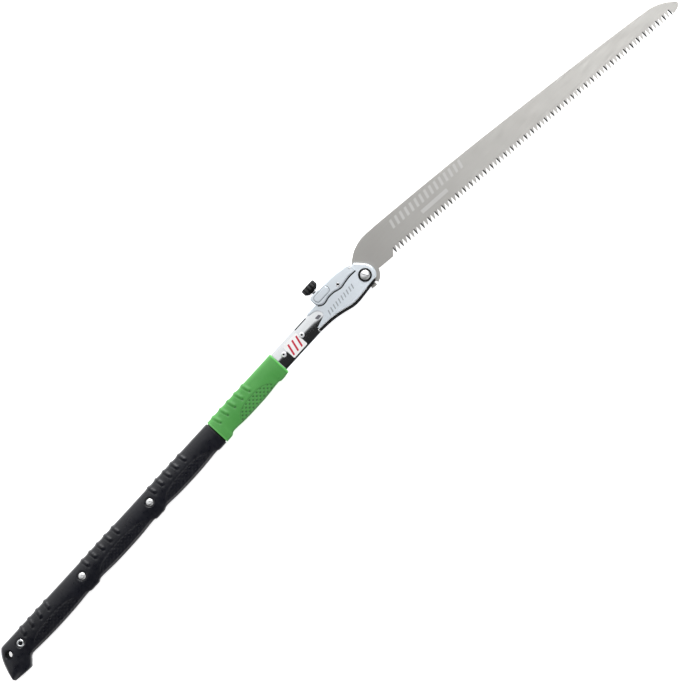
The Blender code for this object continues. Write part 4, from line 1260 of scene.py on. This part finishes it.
def make_etching():
    """A plain frosted pattern near the heel: a slanting hatch between two lines, and a bar below it."""
    hatch = np.arange(64.0, 184.0, 8.0)
    shapes = [[(s, 19.5), (s + 3.6, 19.5), (s + 6.0, 30.5), (s + 2.4, 30.5)] for s in hatch]
    shapes.append(rectangle(104.0, 9.0, 146.0, 14.0))
    for index, shape in enumerate(shapes):
        shape, level = eased(shape, 0.5, 3, closed=True), BLADE_HALF + 0.01
        mark = plate(f"etching_{index + 1}", shape, level, level + 0.03, 0.01, steps=1)
        mark.data.transform(blade_place())
        dress(mark, ETCHED_STEEL, "blade", slot="blade_steel")


# ---------------------------------------------------------------- floor, light and camera

def make_stage():
    """A white floor that glows a little, as a light table does, so that shadows on it stay faint."""
    half, level = 9.0, -FLOOR_GAP * MM
    mesh = bpy.data.meshes.new("floor")
    mesh.from_pydata([(*p, level) for p in rectangle(-half, -half, half, half)], [], [(0, 1, 2, 3)])
    look = Look("floor", (0.93, 0.93, 0.93), 0.9, Emission_Color=(1.0, 1.0, 1.0, 1.0), Emission_Strength=0.8)
    look.vary("Base Color", look.noise(2.0, 2.0), 0.92, 0.94)
    mesh.materials.append(look.material)
    add_object("floor", mesh)


def soft_light(name, place, target, size, power):
    lamp = bpy.data.lights.new(name, "AREA")
    lamp.shape = "RECTANGLE"
    lamp.size = lamp.size_y = size
    lamp.energy = power
    obj = add_object(name, lamp)
    obj.location = place
    obj.rotation_euler = (Vector(target) - Vector(place)).to_track_quat("-Z", "Y").to_euler()
    obj.visible_camera = False


def make_world():
    """A pale studio that brightens towards the blade, with a dark flag high up on the belly side."""
    world = bpy.data.worlds.new("studio")
    bpy.context.scene.world = world
    world.use_nodes = True
    tree = world.node_tree
    place = shader_node(tree, "ShaderNodeTexCoord", "Generated")

    def spread(axis, low, high, start, end):
        value = shader_node(tree, "ShaderNodeSeparateXYZ", axis, {"Vector": place})
        inputs = {"Value": value, "From Min": low, "From Max": high, "To Min": start, "To Max": end}
        return shader_node(tree, "ShaderNodeMapRange", "Result", inputs)

    flag = color_ramp(tree, spread("Y", -1.0, 1.0, 0.0, 1.0), [((y + 1) / 2, grey) for y, grey in SKY])
    inputs = {0: flag, 1: spread("X", -0.7, 0.7, 0.45, 1.45)}
    lit = shader_node(tree, "ShaderNodeMath", "Value", inputs, operation="MULTIPLY")
    inputs = {"Factor": spread("Z", 0.12, 0.38, 0.0, 1.0), "A": 0.95, "B": lit}
    mixed = shader_node(tree, "ShaderNodeMix", "Result", inputs)
    background = tree.nodes["Background"]
    tree.links.new(mixed, background.inputs["Color"])
    background.inputs["Strength"].default_value = 1.0


def make_camera():
    """Straight above the saw, rolled so that its blade rises to the right in the picture."""
    roll = math.radians(47.5)
    distance, extent = 7.0, 0.8431
    camera = bpy.data.cameras.new("camera")
    camera.sensor_width = 36.0
    camera.lens = camera.sensor_width * distance / extent
    camera.clip_end = 50.0
    obj = add_object("camera", camera)
    obj.location = (-0.0815, -0.032, MID * MM + distance)
    obj.rotation_euler = (0.0, 0.0, -roll)
    bpy.context.scene.camera = obj


make_camera()
make_stage()
make_world()
soft_light("key", (2.4, 2.2, 2.4), (-0.1, 0, 0), 1.2, 70.0)
soft_light("tip", (0.60, 0.1, 1.3), (0.45, 0.0, 0.0), 0.7, 5.0)
bpy.context.scene.view_settings.view_transform = "Standard"

make_front_grip()
make_rear_grip()
make_channel()
make_label()
make_rivets()
make_grip_fasteners()
make_head()
make_guides()
make_pivot()
make_lever()
make_spring()
make_knob()
make_blade()
make_etching()
